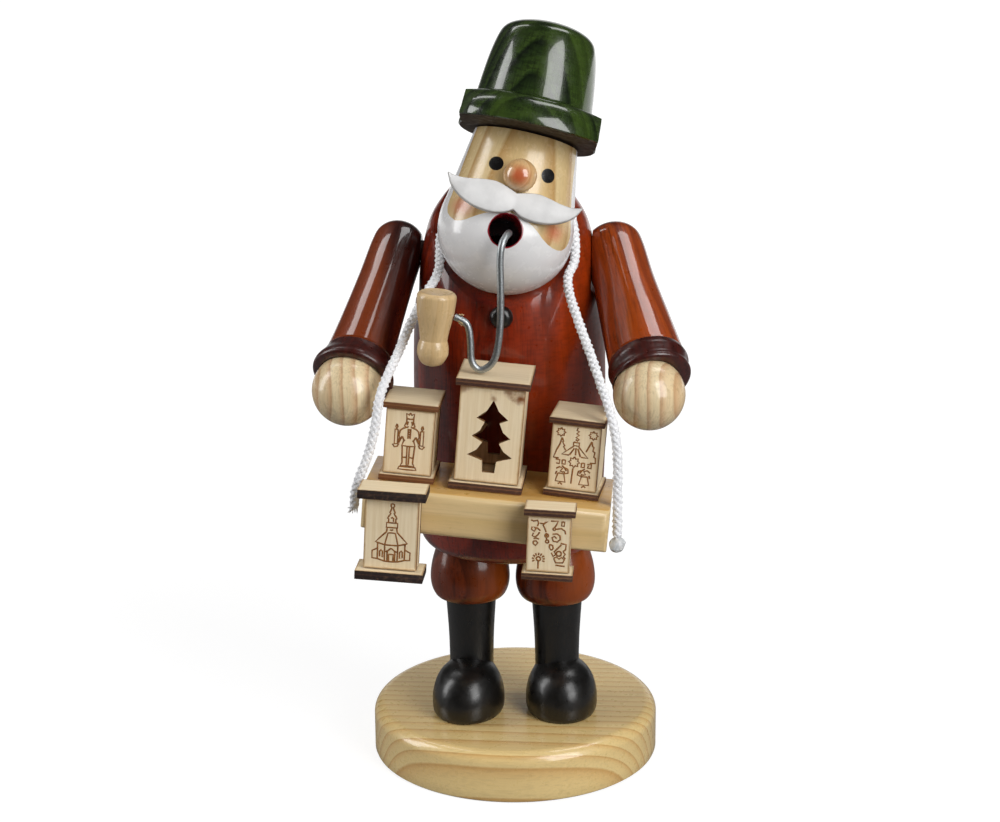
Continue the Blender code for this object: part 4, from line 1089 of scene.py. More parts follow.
def painted_head(settings):
    """Bare lacquered pine for the face, white enamel for beard and hair, black eyes and rubbed-on blush."""
    head = Finish("painted_pine_head", HEAD_FRAME)
    colour, fibre = head.wood(dict(pith=(2.0, -46.0), ring=6.6, wobble=1.0, fibre=0.16, stops=FACE_STOPS))
    u, v, w = (head.part(head.local, k) for k in range(3))
    flat = head.add("ShaderNodeCombineXYZ", None, {0: u, 1: 0.0, 2: w})
    cloud = head.noise(head.local, 0.35)
    for x, z in BLUSHES:
        ragged = head.maths("MULTIPLY_ADD", cloud, 1.5, head.vector("DISTANCE", flat, (x, 0, z)))
        colour = head.mix(head.fade(ragged, 0.6, 5.4, 0.62, 0.0), colour, from_user(settings.blush))
    covered = head.span(head.mark("beard"), -0.05, 0.05)
    colour = head.mix(covered, colour, head.mix(cloud, from_user(settings.paint), linear("DFDEDF")))
    front = head.maths("LESS_THAN", v, 0.0)
    for x, z, wide, tall in EYES:
        unit = head.vector("DIVIDE", head.vector("SUBTRACT", flat, (x, 0, z)), (wide, 1, tall))
        spot = head.span(head.vector("LENGTH", unit), 0.97, 1.03, 1.0, 0.0)
        colour = head.mix(head.maths("MULTIPLY", spot, front), colour, linear("100E0D"))
    from_mouth = head.vector("DISTANCE", flat, (MOUTH_U, 0, MOUTH_W))
    spot = head.span(head.maths("MULTIPLY_ADD", cloud, 0.5, from_mouth), 5.1, 5.3, 1.0, 0.0)
    colour = head.mix(head.maths("MULTIPLY", spot, front), colour, linear("8E1222"))
    height = head.maths("MULTIPLY", fibre, head.span(covered, 0.0, 1.0, 1.0, 0.15))
    return head.lacquer(colour, height, rough=0.24, coat=0.4, coat_rough=0.12, depth=0.008)


def mouth_paint():
    """Dark red enamel run round the mouth's rim, darkening further in as painted shade inside the hole."""
    mouth = Finish("mouth_red_enamel", HEAD_FRAME)
    uneven = mouth.noise(mouth.local, 0.5, 3)
    shifted = mouth.maths("MULTIPLY_ADD", uneven, 1.2, mouth.part(mouth.local, 1))
    # Darker further from the lip: painted shade inside the mouth and its bores
    colour = mouth.ramp(mouth.span(shifted, -18.6, -4.0),
                        ((0.0, "C80E28"), (0.35, "B80E26"), (0.7, "8E0C1E"), (1.0, "3A080C")))
    return mouth.lacquer(colour, uneven, rough=0.3, coat=0.5, coat_rough=0.15, depth=0.04)


MOUSTACHE_REACH = 19.0
MOUSTACHE_TIP = 9.7
MOUSTACHE_THICKNESS = 2.0
MOUSTACHE_TOP = ((0, 8.8), (3.0, 9.7), (6.0, 10.2), (9.2, 9.8), (12.6, 9.1), (16.0, 8.9), (19.0, 9.7))
MOUSTACHE_FOOT = ((0, 4.0), (2.3, 2.7), (5.3, 2.1), (8.6, 2.25), (11.7, 2.95), (14.6, 4.3), (17.4, 6.6),
                  (19.0, 9.7))
# The left half was sawn a little longer and fuller
LEFT_LONGER = 1.06


def height_at(line, u):
    """The line's height above a place that it passes over."""
    return next(p + (q - p) * (u - a) / (b - a) for (a, p), (b, q) in zip(line, line[1:]) if a <= u <= b)


def moustache_skin():
    """A sawn board with softened edges, from tip to tip."""
    top, foot = smooth_curve(MOUSTACHE_TOP, 6), smooth_curve(MOUSTACHE_FOOT, 6)
    thickness = MOUSTACHE_THICKNESS
    rings = [[(-MOUSTACHE_REACH * LEFT_LONGER, MOUSTACHE_TIP, thickness / 2)]]
    for k in range(1, 96):
        u = MOUSTACHE_REACH * sin(pi / 2 * (k / 48 - 1))
        low, high = height_at(foot, abs(u)), height_at(top, abs(u))
        if u < 0:
            fuller = sin(pi * min(1.0, abs(u) / MOUSTACHE_REACH))
            low, high, u = low - 0.45 * fuller, high + 0.6 * fuller, u * LEFT_LONGER
        e = min(0.4, (high - low) / 3)
        near, far = min(e, thickness / 3), thickness - min(e, thickness / 3)
        inner = thickness - near * 0.4
        section = ((low + e, 0), (low, near), (low, far), (low + e * 0.4, inner), (low + e, thickness),
                   (high - e, thickness), (high - e * 0.4, inner), (high, far), (high, near), (high - e, 0))
        rings.append([(u, v, w) for v, w in section])
    return rings_to_mesh(rings + [[(MOUSTACHE_REACH, MOUSTACHE_TIP, thickness / 2)]])


class SMOKER_OT_head(bpy.types.Operator):
    """Head with painted beard, eyes and blush, the nose and the moustache"""

    bl_idname = "smoker.head"
    bl_label = "Head"

    def execute(self, context):
        settings = context.scene.smoker_wood
        head = new_object("turned_head", lathe(head_profile(), 160), HEAD_FRAME, [painted_head(settings)], 45)
        red = mouth_paint()
        mouth = rod(MOUTH_RADIUS, (MOUTH_U, -25.6, MOUTH_W), (MOUTH_U, MOUTH_BACK, MOUTH_W), 96)
        socket = rod(1.1, (0.05, 7.8, -2.1), (0.05, MOUTH_BACK - 12.0, -2.1), 24)
        carve(head, [(block((120, 120, 120), (0, 0, GAP - 60)), NECK_FRAME, None), (mouth, HEAD_FRAME, red),
                     (rod(*SMOKE_BORE), None, red), (socket, HEAD_FRAME, red)], smooth_angle=45)
        back = back_to(HEAD_FRAME)
        marks = head.data.attributes.new("beard", "FLOAT", "POINT")
        for vertex, mark in zip(head.data.vertices, marks.data):
            x, y, z = back @ vertex.co
            mark.value = border_distance(degrees(atan2(x, -y)), z)
        hand_over(head, "coat", "flesh_wood", "head")
        self.nose()
        self.moustache()
        return {"FINISHED"}

    def nose(self):
        u, w = NOSE_PLACE
        place = HEAD_FRAME @ moved(u, -(CHEEK_RADIUS - HEAD_SLOPE * (w - CHEEK_W)) - NOSE_STAND, w)
        finish = Finish("nose_lacquered_wood", place)
        look = dict(pith=(20, 25), ring=2.6, wobble=0.8, fibre=0.3,
                    stops=((0.0, "DDB888"), (0.6, "D6AC78"), (0.95, "CB9C68"), (1.0, "DBB584")))
        colour, fibre = finish.wood(look)
        blush = finish.fade(finish.vector("DISTANCE", finish.local, (-0.4, -4.5, -0.8)), 0.6, 4.2, 0.85, 0.0)
        material = finish.lacquer(finish.mix(blush, colour, linear("BC4E2A")), fibre, rough=0.2, coat=0.8,
                                  coat_rough=0.06, depth=0.015)
        ball = lathe(arc((0, 0), NOSE_RADIUS, -90, 90, 32), 64)
        nose = new_object("round_nose", ball, place, [material], 60)
        carve(nose, [(lathe(head_profile(GAP), 128), HEAD_FRAME, None)], smooth_angle=60)
        hand_over(nose, "coat", "flesh_wood", "nose")

    def moustache(self):
        slope = atan(HEAD_SLOPE)
        stand = CHEEK_RADIUS + HEAD_SLOPE * CHEEK_W + GAP / cos(slope)
        upright = Matrix.Rotation(pi / 2 - slope, 4, "X")
        place = HEAD_FRAME @ moved(-0.7, -stand, 0) @ upright @ turned("Z", -2.0)
        face = brushed_enamel("moustache_white_paint", place, "DEDDDC", "CFCECD", rough=0.48, coat=0.05,
                              depth=0.03)
        # The edges are a greyer, matte copy of the white paint: painted shade on the edges that face away
        # from the light
        rim = brushed_enamel("moustache_edge_painted_shade", place, "D2D1CF", "C2C1BF", rough=0.6, coat=0.0,
                             depth=0.04)
        moustache = new_object("sawn_moustache", moustache_skin(), place, [face, rim], 50)
        back = place.to_3x3().inverted()
        for polygon in moustache.data.polygons:
            polygon.material_index = int(abs((back @ polygon.normal).z) < 0.75)
        hand_over(moustache, "coat", "white_paint", "moustache")


# Hat

CROWN_RADIUS = 17.3
CROWN_HEIGHT = 26.8
# The crown's side, as shares of its radius and height
CROWN_SIDE = ((1.0, 0.0), (0.978, 0.17), (0.92, 0.5), (0.84, 0.76), (0.74, 0.89), (0.52, 0.965),
              (0.24, 0.997), (0.0, 1.0))
BRIM_THICKNESS = 7.0
BRIM_REACH = 26.9
BRIM_REAR_RADIUS = 20.2
BRIM_REAR_START = -12
# How far the visor's corners lie from its middle line
BRIM_CORNER = {"left": 21.1, "right": 18.7}
# Rise of the brim's top for each millimetre inwards, up to the radius where it meets the crown
BRIM_DOME = 2.9 / 9.6
BRIM_FLAT_RADIUS = 15.9
# Where the sawn flanks start beside the middle line, and their two ends from front to back
SAWN_X = 17.2
SAWN_Y = (-18.9, 2.5)


class SMOKER_OT_hat(bpy.types.Operator):
    """Visored hat: a turned crown on a sawn brim"""

    bl_idname = "smoker.hat"
    bl_label = "Hat"

    def execute(self, context):
        gloss = context.scene.smoker_wood.hat_gloss
        look = dict(pith=(-4.0, -34.0), ring=4.6, taper=0.32, wobble=2.4, fibre=0.8, ripple=0.5,
                    blotch=0.4, blotch_colour="445A1C", stops=HAT_STOPS)
        stain = wooden("hat_green_stain", HAT_FRAME, look, rough=gloss, coat=0.85, coat_rough=0.07,
                       depth=0.03, specular=0.3)
        sawn = wooden("hat_sawn_green", HAT_FRAME, dict(look, fibre=1.0), rough=0.6, coat=0.0, depth=0.08,
                      specular=0.2)
        # The brim's underside is bare and dull, coloured dark grey-brown as painted shade under the brim
        look = dict(fibre=0.6, stops=((0.0, "4E4334"), (0.8, "40372C"), (1.0, "4A4032")))
        under = wooden("hat_bare_underside_painted_shade", HAT_FRAME, look, rough=0.6, coat=0.0, depth=0.03, specular=0.2)
        foot = BRIM_THICKNESS - 2
        side = [(CROWN_RADIUS * r, BRIM_THICKNESS + CROWN_HEIGHT * h) for r, h in CROWN_SIDE]
        outline = [(0, foot)] + smooth_curve([(CROWN_RADIUS, foot)] + side, 8)
        hat = new_object("turned_hat", lathe(outline, 128), HAT_FRAME, [stain])
        carve(hat, [(self.brim(), HAT_FRAME, None)], "UNION", 32)
        hat.data.materials.append(sawn)
        hat.data.materials.append(under)
        back = back_to(HAT_FRAME)
        for face in hat.data.polygons:
            x, y, z = back @ face.center
            upright = abs((back.to_3x3() @ face.normal * MM).z) < 0.5
            on_flank = abs(x) > SAWN_X and SAWN_Y[0] < y < SAWN_Y[1] and 0.3 < z < BRIM_THICKNESS + 1.4
            face.material_index = 2 if z < 0.1 else int(on_flank and upright)
        hand_over(hat, "coat", "green_stain", "hat")
        return {"FINISHED"}

    def brim(self):
        """A turned disc with a domed top, its two sides sawn off and its rear turned smaller."""
        reach = BRIM_REACH
        left, right = (asin(BRIM_CORNER[name] / reach) for name, _ in SIDES)
        front = [(reach * sin(a), -reach * cos(a))
                 for a in (-left + (left + right) * i / 40 for i in range(41))]
        start = radians(BRIM_REAR_START)
        rear = [(BRIM_REAR_RADIUS * cos(a), BRIM_REAR_RADIUS * sin(a))
                for a in (start + (pi - 2 * start) * i / 56 for i in range(57))]

        def flank(begin, end):
            return [(*(p + (q - p) * k / 7 for p, q in zip(begin, end)), 0.12) for k in range(1, 7)]

        def top(r):
            return BRIM_THICKNESS + BRIM_DOME * (reach - r)

        outline = [(x, y, 1.0) for x, y in front] + flank(front[-1], rear[0])
        outline += [(x, y, 1.0) for x, y in rear] + flank(rear[-1], front[0])
        rings = [[] for _ in range(9)]
        for x, y, soft in outline:
            r = hypot(x, y)
            high = top(r - 3.4 * soft)
            edge = ((r - 0.4 * soft, 0), (r, 0.3), (r, 1.2), (r - 0.4 * soft, high * 0.37),
                    (r - 1.1 * soft, high * 0.6), (r - 2.1 * soft, high * 0.82), (r - 3.4 * soft, high),
                    (BRIM_FLAT_RADIUS, top(BRIM_FLAT_RADIUS)), (14.0, top(BRIM_FLAT_RADIUS)))
            for ring, (radius, z) in zip(rings, edge):
                ring.append((x / r * radius, y / r * radius, z))
        return rings_to_mesh(rings)


# Arms

# The sleeves' radii at shoulder, wrist and cuff, the dome's share of the shoulder and the lean in degrees
SLEEVES = {"left": (8.1, 9.7, 12.0, 1.0, 0.0), "right": (9.0, 11.0, 11.5, 0.84, 2.0)}
CUFF_FACE_TO_HAND = 4.4
CUFF_LENGTH = 8.2
# One stain on both sleeves: the left sleeve is painted darker as painted shade, the right brighter as painted
# light
SLEEVE_LIT_AND_SHADED_LOOKS = {
    "left": dict(blotch_colour="6E2808",
                 stops=((0.0, "4C1608"), (0.4, "3E0F06"), (0.8, "2A0804"), (1.0, "481307"))),
    "right": dict(blotch_colour="A04008",
                  stops=((0.0, "A6460C"), (0.4, "963A08"), (0.8, "601A04"), (1.0, "9C4009"))),
}
# Strength and start of the painted light, a paler tint, on each sleeve's outer side
SLEEVE_GLOW = {"left": (0.5, 2.5), "right": (0.3, 2)}


class SMOKER_OT_arms(bpy.types.Operator):
    """Sleeves with their dark cuffs, and the round hands"""

    bl_idname = "smoker.arms"
    bl_label = "Arms"

    def execute(self, context):
        for name, side in SIDES:
            self.sleeve(name, side, context.scene.smoker_wood.coat_gloss)
            self.hand(name, side)
        return {"FINISHED"}

    def sleeve(self, name, side, gloss):
        place, reach = arm_frame(name, side)
        outward = place.to_3x3().inverted() @ Vector((side, -0.25, 0.25))
        strength, start = SLEEVE_GLOW[name]
        look = dict(SLEEVE_LIT_AND_SHADED_LOOKS[name], pith=(side * 18.0, -20.0), ring=3.6, wobble=2.4, fibre=1.0,
                    ripple=0.12, blotch=0.35, glow=(tuple(outward), start, 9, "A8480C", strength))
        stain = wooden(f"{name}_sleeve_stain", place, look, rough=gloss, coat=1.0, coat_rough=0.06,
                       depth=0.05, specular=0.2)
        look = dict(ring=2.4, fibre=0.8, stops=((0.0, "4A160E"), (0.6, "3A110B"), (1.0, "45150D")))
        dark = wooden(f"{name}_cuff_stain", place, look, rough=0.32, coat=0.25, coat_rough=0.2, depth=0.05)
        face = reach - CUFF_FACE_TO_HAND
        groove = face - CUFF_LENGTH
        shoulder, wrist, cuff, dome, lean = SLEEVES[name]
        dome *= shoulder
        outline = smooth_curve([(0, -dome - 0.9), (shoulder * 0.55, -dome * 0.97),
                                (shoulder * 0.9, -dome * 0.6), (shoulder, 0.3),
                                (shoulder + 0.2, reach * 0.25), (wrist - 0.75, reach * 0.55),
                                (wrist, groove)], 8)
        outline += [(wrist - 0.35, groove + 0.4)]
        outline += smooth_curve([(wrist + 0.15, groove + 0.8), (wrist + 0.75, groove + 3.0),
                                 (cuff - 0.3, face - 2.6), (cuff, face - 1.2), (cuff - 0.3, face - 0.35),
                                 (cuff - 1.0, face)], 6)
        outline += [(0, face)]
        # The right sleeve leans out a little from the line to its hand
        axis = (place.to_3x3() @ Vector((0, 0, 1))).cross(Vector((1, 0, 0)))
        tilt = (Matrix.Translation(place.translation) @ Matrix.Rotation(radians(lean), 4, axis)
                @ place.to_3x3().to_4x4())
        arm = new_object(f"{name}_sleeve", lathe(outline, 96), tilt, [stain, dark], 30)
        seat = FACE_X[name] + GAP / 3
        hole = rod(DOWEL_HOLE, (side * (seat - 3), 0, SHOULDER_Z), (side * (seat + 8.8), 0, SHOULDER_Z))
        flat = block((80, 80, 80), (side * (seat - 40), 0, SHOULDER_Z))
        socket = lathe(arc((0, reach), HAND_RADIUS + GAP, -90, 90, 32), 80)
        carve(arm, [(flat, None, None), (hole, None, None), (socket, place, None)], smooth_angle=30)
        back = back_to(tilt)
        for polygon in arm.data.polygons:
            polygon.material_index = int((back @ polygon.center).z > groove + 0.3)
        hand_over(arm, f"{name}_arm", "coat_stain", f"{name}_arm")

    def hand(self, name, side):
        place, reach = arm_frame(name, side)
        # The rings stand upright in both hands, seen edge on
        grain = Matrix.Translation((place @ moved(0, 0, reach)).translation)
        look = dict(pith=(150.0 * side, -24.0), ring=3.7, wobble=1.1, wander=0.09, fibre=0.35,
                    glow=((side, 0, 0), 2, 11, "D6A870", 0.35),
                    stops=((0.0, "E6D2AA"), (0.4, "E0C9A0"), (0.68, "D2B088"), (0.8, "C09A74"),
                           (0.9, "E4CFA6")))
        finish = wooden(f"{name}_hand_pine", grain, look, rough=0.28, coat=0.4, coat_rough=0.12, depth=0.02)
        outline = arc((0, reach), HAND_RADIUS, -90, 90, 40)
        ball = new_object(f"{name}_round_hand", lathe(outline, 80), place, [finish], 60)
        hand_over(ball, f"{name}_arm", "pine", f"{name}_hand")


# Tray and lanterns

SHEET = 1.5
# Each lantern's place across the tray and its own sizes. The lanterns with a top hang in front of the tray,
# that far above its middle. The colours are those of its plates' edges, at the core and outside.
LANTERNS = {
    "middle": dict(u=-0.95, v=1.7, width=21.0, depth=22.5, walls=27.8, plate=2.0, lip=1.35, turn=0.0,
                   core="44281A", outer="7A4E30"),
    "left": dict(u=-23.7, v=1.3, width=15.8, depth=18.3, walls=19.0, plate=1.7, lip=0.95, turn=0.0,
                 core="6A3E1C", outer="8A5A2C"),
    "right": dict(u=24.1, v=2.0, width=15.8, depth=18.3, walls=19.0, plate=1.7, lip=0.95, turn=-5.0,
                  core="4A2C1C", outer="80522C"),
    "front_left": dict(u=-25.1, top=9.1, width=19.2, depth=9.9, walls=20.5, plate=2.6, lip=2.1, tilt=1.6,
                       core="241612", outer="3C241A"),
    "front_right": dict(u=18.9, top=8.0, width=14.3, depth=8.6, walls=16.2, plate=1.9, lip=1.1, tilt=2.3,
                        core="42261A", outer="805A34"),
}
TREE_HALF = ((0.0, 10.4), (1.7, 7.2), (4.5, 4.9), (2.1, 3.8), (3.3, 1.2), (5.5, -0.5), (2.4, -2.1),
             (3.8, -4.4), (6.4, -6.1), (2.0, -7.5), (1.75, -10.9))
TREE_SHIFT = 0.5
TREE_STAINS = ((0.5, 11.0, 1.4, 0.8), (7.9, 11.6, 2.8, 1.0), (5.0, 13.2, 2.4, 0.8), (-8.2, 13.2, 2.2, 0.7))


def lantern_place(size):
    """The lantern's frame, and the height in it at which its floor plate starts."""
    if "top" not in size:
        place = TRAY_FRAME @ moved(size["u"], size["v"], 0) @ turned("Z", size["turn"])
        return place, TRAY_SIZE[2] / 2 + GAP
    height = size["walls"] + 2 * size["plate"] + 2 * GAP
    v = -TRAY_SIZE[1] / 2 - GAP - size["depth"] / 2
    place = TRAY_FRAME @ moved(size["u"], v, size["top"] - height / 2) @ turned("Y", -size["tilt"])
    return place, -height / 2


def plywood_board(name, size, centre, place, finishes):
    """A laser-cut sheet: veneer with a browned rim on its two broad faces, char on its cut edges."""
    thin = min(range(3), key=lambda k: size[k])
    bm = block(size, (0, 0, 0))
    soften(bm, list(bm.edges), 0.12, 2)
    broad = [f for f in bm.faces if abs(f.normal[thin]) > 0.99 and f.calc_area() > 4]
    across = [k for k in range(3) if k != thin]
    bmesh.ops.inset_individual(bm, faces=broad, thickness=min(1.5, min(size[k] for k in across) * 0.3))
    rim = bm.verts.layers.float.new("rim")
    through = bm.verts.layers.float.new("through")
    for vert in bm.verts:
        vert[rim] = float(all(abs(vert.co[k]) < size[k] / 2 - 0.5 for k in across))
        vert[through] = min(1.0, max(0.0, vert.co[thin] / size[thin] + 0.5))
    for face in bm.faces:
        face.material_index = 0 if abs(face.normal[thin]) > 0.8 else 1
    bm.transform(Matrix.Translation(centre))
    return new_object(name, bm, place, finishes, 30)


def mirrored(lines, axis=0.0):
    return [list(line) for line in lines] + [[(2 * axis - x, z) for x, z in line] for line in lines]


def ring(x, z, radius, points=14, inner=None):
    """A circle, or a star where an inner radius is given."""
    line = []
    for k in range(points + 1):
        a = 2 * pi * k / points + pi / 2
        r = inner if inner and k % 2 else radius
        line.append((x + r * cos(a), z + r * sin(a)))
    return line


def church_lines():
    """A small octagonal church with a lantern spire, a folk motif of the region."""
    half = [
        [(0.25, 9.1), (0.7, 8.9), (0.75, 8.4), (0.45, 7.9), (0.75, 7.0), (1.0, 6.5), (0.7, 6.2),
         (1.2, 5.5), (1.55, 4.8), (1.25, 4.6), (1.3, 3.5)],
        [(0.25, 3.5), (1.8, 3.5), (1.8, 2.1), (0.25, 2.1)], [(1.6, 2.1), (1.75, 0.8)],
        [(0.25, 0.55), (1.3, 0.45), (2.1, -2.9)],
        [(1.75, 0.8), (3.1, -0.6), (4.7, -2.3), (4.2, -2.5), (2.1, -3.1), (0.25, -3.1)],
        [(2.1, -3.1), (2.05, -7.9)],
        [(4.1, -2.5), (4.05, -7.3)], [(0.25, -8.0), (2.05, -7.9), (4.05, -7.3)],
        [(0.25, -4.0), (1.1, -4.7), (1.8, -5.1)], [(1.3, -4.9), (1.3, -7.9)],
        [(0.25, -5.8), (0.85, -5.8), (0.85, -7.9)],
        [(2.7, -6.8), (2.65, -5.1), (3.05, -4.6), (3.45, -5.0), (3.45, -6.6)],
        [(4.1, -4.2), (5.6, -5.0), (5.55, -7.2), (4.05, -7.3)],
    ]
    middle = [[(-0.1, 4.8), (0.25, 5.1), (0.6, 4.8), (0.6, 3.9)], [(-0.2, 1.5), (0.2, 1.25), (0.6, 1.6)]]
    return mirrored(half, 0.25) + middle


def nutcracker_lines():
    """A soldier with a candle in each hand, a folk motif of the region."""
    half = [
        [(0, 8.6), (0.35, 7.9), (1.15, 8.3), (0.95, 7.0), (1.0, 5.6), (0.6, 4.9)], [(0, 6.7), (0.95, 6.8)],
        [(0.45, 6.0), (0.75, 5.2)],
        [(1.0, 5.8), (1.5, 4.6), (0.7, 4.2), (0.35, 4.6)],
        [(0.9, 4.2), (1.8, 3.9), (2.6, 3.2), (2.9, 1.8), (2.6, 0.9), (1.9, 1.5)],
        [(1.9, 1.5), (1.5, 0.6), (1.1, 0.2)], [(2.6, 0.9), (3.2, -0.3)], [(1.9, 1.5), (2.9, -0.5)],
        [(0.35, 3.9), (0.3, 0.9)],
        [(1.4, 0.3), (1.9, -1.2), (0, -1.35)], [(1.8, -1.2), (1.5, -6.3)], [(0.35, -1.4), (0.3, -6.4)],
        [(0.3, -4.6), (1.55, -4.7)],
        [(1.5, -6.3), (2.0, -7.2), (0.2, -7.1), (0.3, -6.4)],
        [(0, -7.4), (2.3, -7.5), (2.6, -8.2), (0, -8.3)],
        [(3.2, 3.4), (4.1, 3.4), (4.1, -0.9), (3.2, -0.8), (3.2, 3.4)],
        [(3.65, 5.0), (3.95, 4.2), (3.65, 3.6), (3.35, 4.2), (3.65, 5.0)],
        [(2.8, -0.7), (3.2, -1.6), (4.0, -1.8), (4.6, -1.0)],
    ]
    lines = mirrored(half)
    lines += [[(-0.25, z), (0.25, z)] for z in (3.6, 2.9, 2.2, 1.5)]
    return [[(x, z + 0.1) for x, z in line] for line in lines]


def pyramid_lines():
    """Stars, firs, a candle arch and two small figures, folk motifs of the region."""
    lines = [ring(-4.3, 7.2, 1.3, 16, 0.85), ring(4.9, 7.2, 1.3, 16, 0.85), ring(0.1, -1.2, 1.6, 16, 1.05)]
    lines += [
        [(-3.9, 5.6), (-4.4, 3.6), (-5.2, 1.8), (-5.9, -0.4), (-4.4, -0.5)],
        [(-3.9, 5.6), (-3.4, 4.6), (-3.7, 4.4), (-3.0, 3.3), (-3.3, 3.0), (-2.6, 2.0)],
        [(4.6, 5.4), (4.0, 4.0), (3.2, 2.2)],
        [(4.6, 5.4), (4.9, 4.1), (5.3, 3.8), (5.1, 2.7), (5.7, 2.3), (5.5, 1.0), (6.0, 0.7), (6.1, -0.8),
         (4.6, -0.9)],
        [(0.4, 9.0), (0.1, 8.2), (0.8, 7.9), (0.1, 7.2), (0.9, 6.8), (0.0, 6.1), (0.9, 5.6), (0.5, 5.1),
         (0.0, 5.5)],
        [(-0.5, 4.7), (1.1, 4.6), (1.1, 3.6), (-0.5, 3.7), (-0.5, 4.7)],
        [(-0.4, 3.5), (-3.6, 0.8), (-1.5, 0.7)], [(1.0, 3.4), (3.9, 0.4), (1.9, 0.5)],
        [(-0.2, 2.9), (-1.4, 0.8)], [(0.8, 2.9), (1.7, 0.6)], [(0.3, 3.0), (0.3, 0.9)],
        [(-5.2, -0.9), (-4.0, -1.0), (-4.1, -2.1), (-5.0, -2.0)],
        [(-3.3, -0.9), (-2.4, -0.9), (-2.4, -2.1), (-3.3, -2.1), (-3.3, -0.9)],
        [(2.2, -1.2), (3.1, -1.2), (3.1, -2.4), (2.2, -2.4), (2.2, -1.2)],
        [(3.9, -1.4), (5.1, -1.3), (5.0, -2.5), (4.0, -2.4), (4.3, -1.8)],
        [(-0.1, -3.0), (-0.3, -7.6)],
    ]
    bell = [
        [(-4.2, -4.9), (-4.8, -7.3), (-2.0, -7.4), (-2.5, -5.0), (-4.2, -4.9)],
        [(-4.8, -3.6), (-3.9, -3.0), (-3.0, -3.4), (-3.6, -4.3), (-2.7, -4.5)],
        [(-4.6, -4.4), (-4.9, -5.3)],
        [(-2.4, -3.2), (-1.5, -3.5), (-1.3, -4.6), (-2.2, -4.9), (-2.6, -4.2)],
        [(-4.0, -8.1), (-3.4, -7.7), (-2.8, -8.2)],
        [(-3.2, -2.6), (-2.4, -3.3), (-1.9, -4.1)],
    ]
    return lines + bell + [[(-x + 0.3 * (z + 6) * 0.1, z - 0.2) for x, z in line] for line in bell]


def toy_lines():
    """A little round tree among scrolls, buds and leaves."""
    lines = [[(-2.6, -4.9), (-2.65, -7.2)], ring(-2.6, -4.3, 0.6, 12)]
    for k in range(9):
        a = radians(-22 + k * 28)
        lines.append([(-2.6 + r * cos(a), -4.4 + r * sin(a)) for r in (1.15, 1.85)])
    lines += [
        [(-5.1, 6.9), (-4.4, 6.6), (-3.3, 6.9), (-3.0, 6.0), (-3.3, 5.2)],
        [(-4.7, 5.0), (-4.9, 4.2), (-4.1, 3.6), (-3.7, 4.4), (-4.2, 4.9), (-3.2, 4.6), (-2.4, 3.9)],
        [(-4.3, 3.2), (-4.6, 2.3), (-3.8, 2.0), (-3.1, 2.6), (-2.6, 3.5)],
        [(-4.2, 1.5), (-3.4, 1.7), (-2.7, 1.4)],
        [(-4.3, 0.7), (-3.5, 0.9), (-3.0, 0.3), (-3.6, -0.5), (-4.2, 0.0), (-4.3, 0.7)],
        [(-2.6, 6.1), (-1.4, 6.0), (-0.4, 6.7), (-1.2, 6.4), (-1.7, 5.6), (-1.2, 4.6), (-0.8, 3.6)],
        ring(-0.6, 2.6, 0.5, 10), ring(-0.4, 0.9, 0.45, 10), [(-0.7, 3.4), (-0.6, 1.5)],
        [(0.4, 6.9), (2.4, 7.0), (2.0, 5.9), (1.4, 4.9)], ring(1.4, 4.6, 0.35, 8),
        [(1.8, 4.6), (3.4, 4.9), (4.4, 4.2), (4.6, 3.3)],
        [(3.5, 6.9), (3.4, 5.7), (4.1, 5.6), (4.2, 6.8), (3.5, 6.9)],
        [(1.0, 3.1), (2.2, 3.3), (3.1, 2.7), (3.2, 1.7), (2.4, 0.9), (1.3, 1.1), (0.9, 2.1), (1.6, 2.5),
         (2.2, 1.9)],
        [(0.3, 0.1), (1.2, -0.2), (1.4, -1.1), (0.8, -1.6), (0.3, -0.9), (0.3, 0.1)],
        [(3.6, 0.2), (2.6, -1.0), (1.6, -2.1)], [(3.4, 0.6), (4.9, 0.3), (4.8, -1.2), (4.1, -1.8)],
        [(0.9, -2.3), (1.4, -3.4), (2.1, -2.8), (1.9, -2.2)], ring(3.0, -2.5, 0.7, 12),
        [(4.2, -1.9), (4.8, -2.6), (4.3, -3.3), (4.9, -3.9)],
        [(1.7, -3.9), (2.4, -3.4), (3.1, -4.1), (3.8, -3.5), (4.6, -4.2), (4.2, -5.1), (2.2, -5.2),
         (1.7, -3.9)],
        [(2.2, -5.9), (4.8, -6.1)],
    ]
    return lines


MOTIFS = {"left": nutcracker_lines, "right": pyramid_lines, "front_left": church_lines,
          "front_right": toy_lines}
LINE_RADIUS = 0.29
LINE_SUNK = 0.15


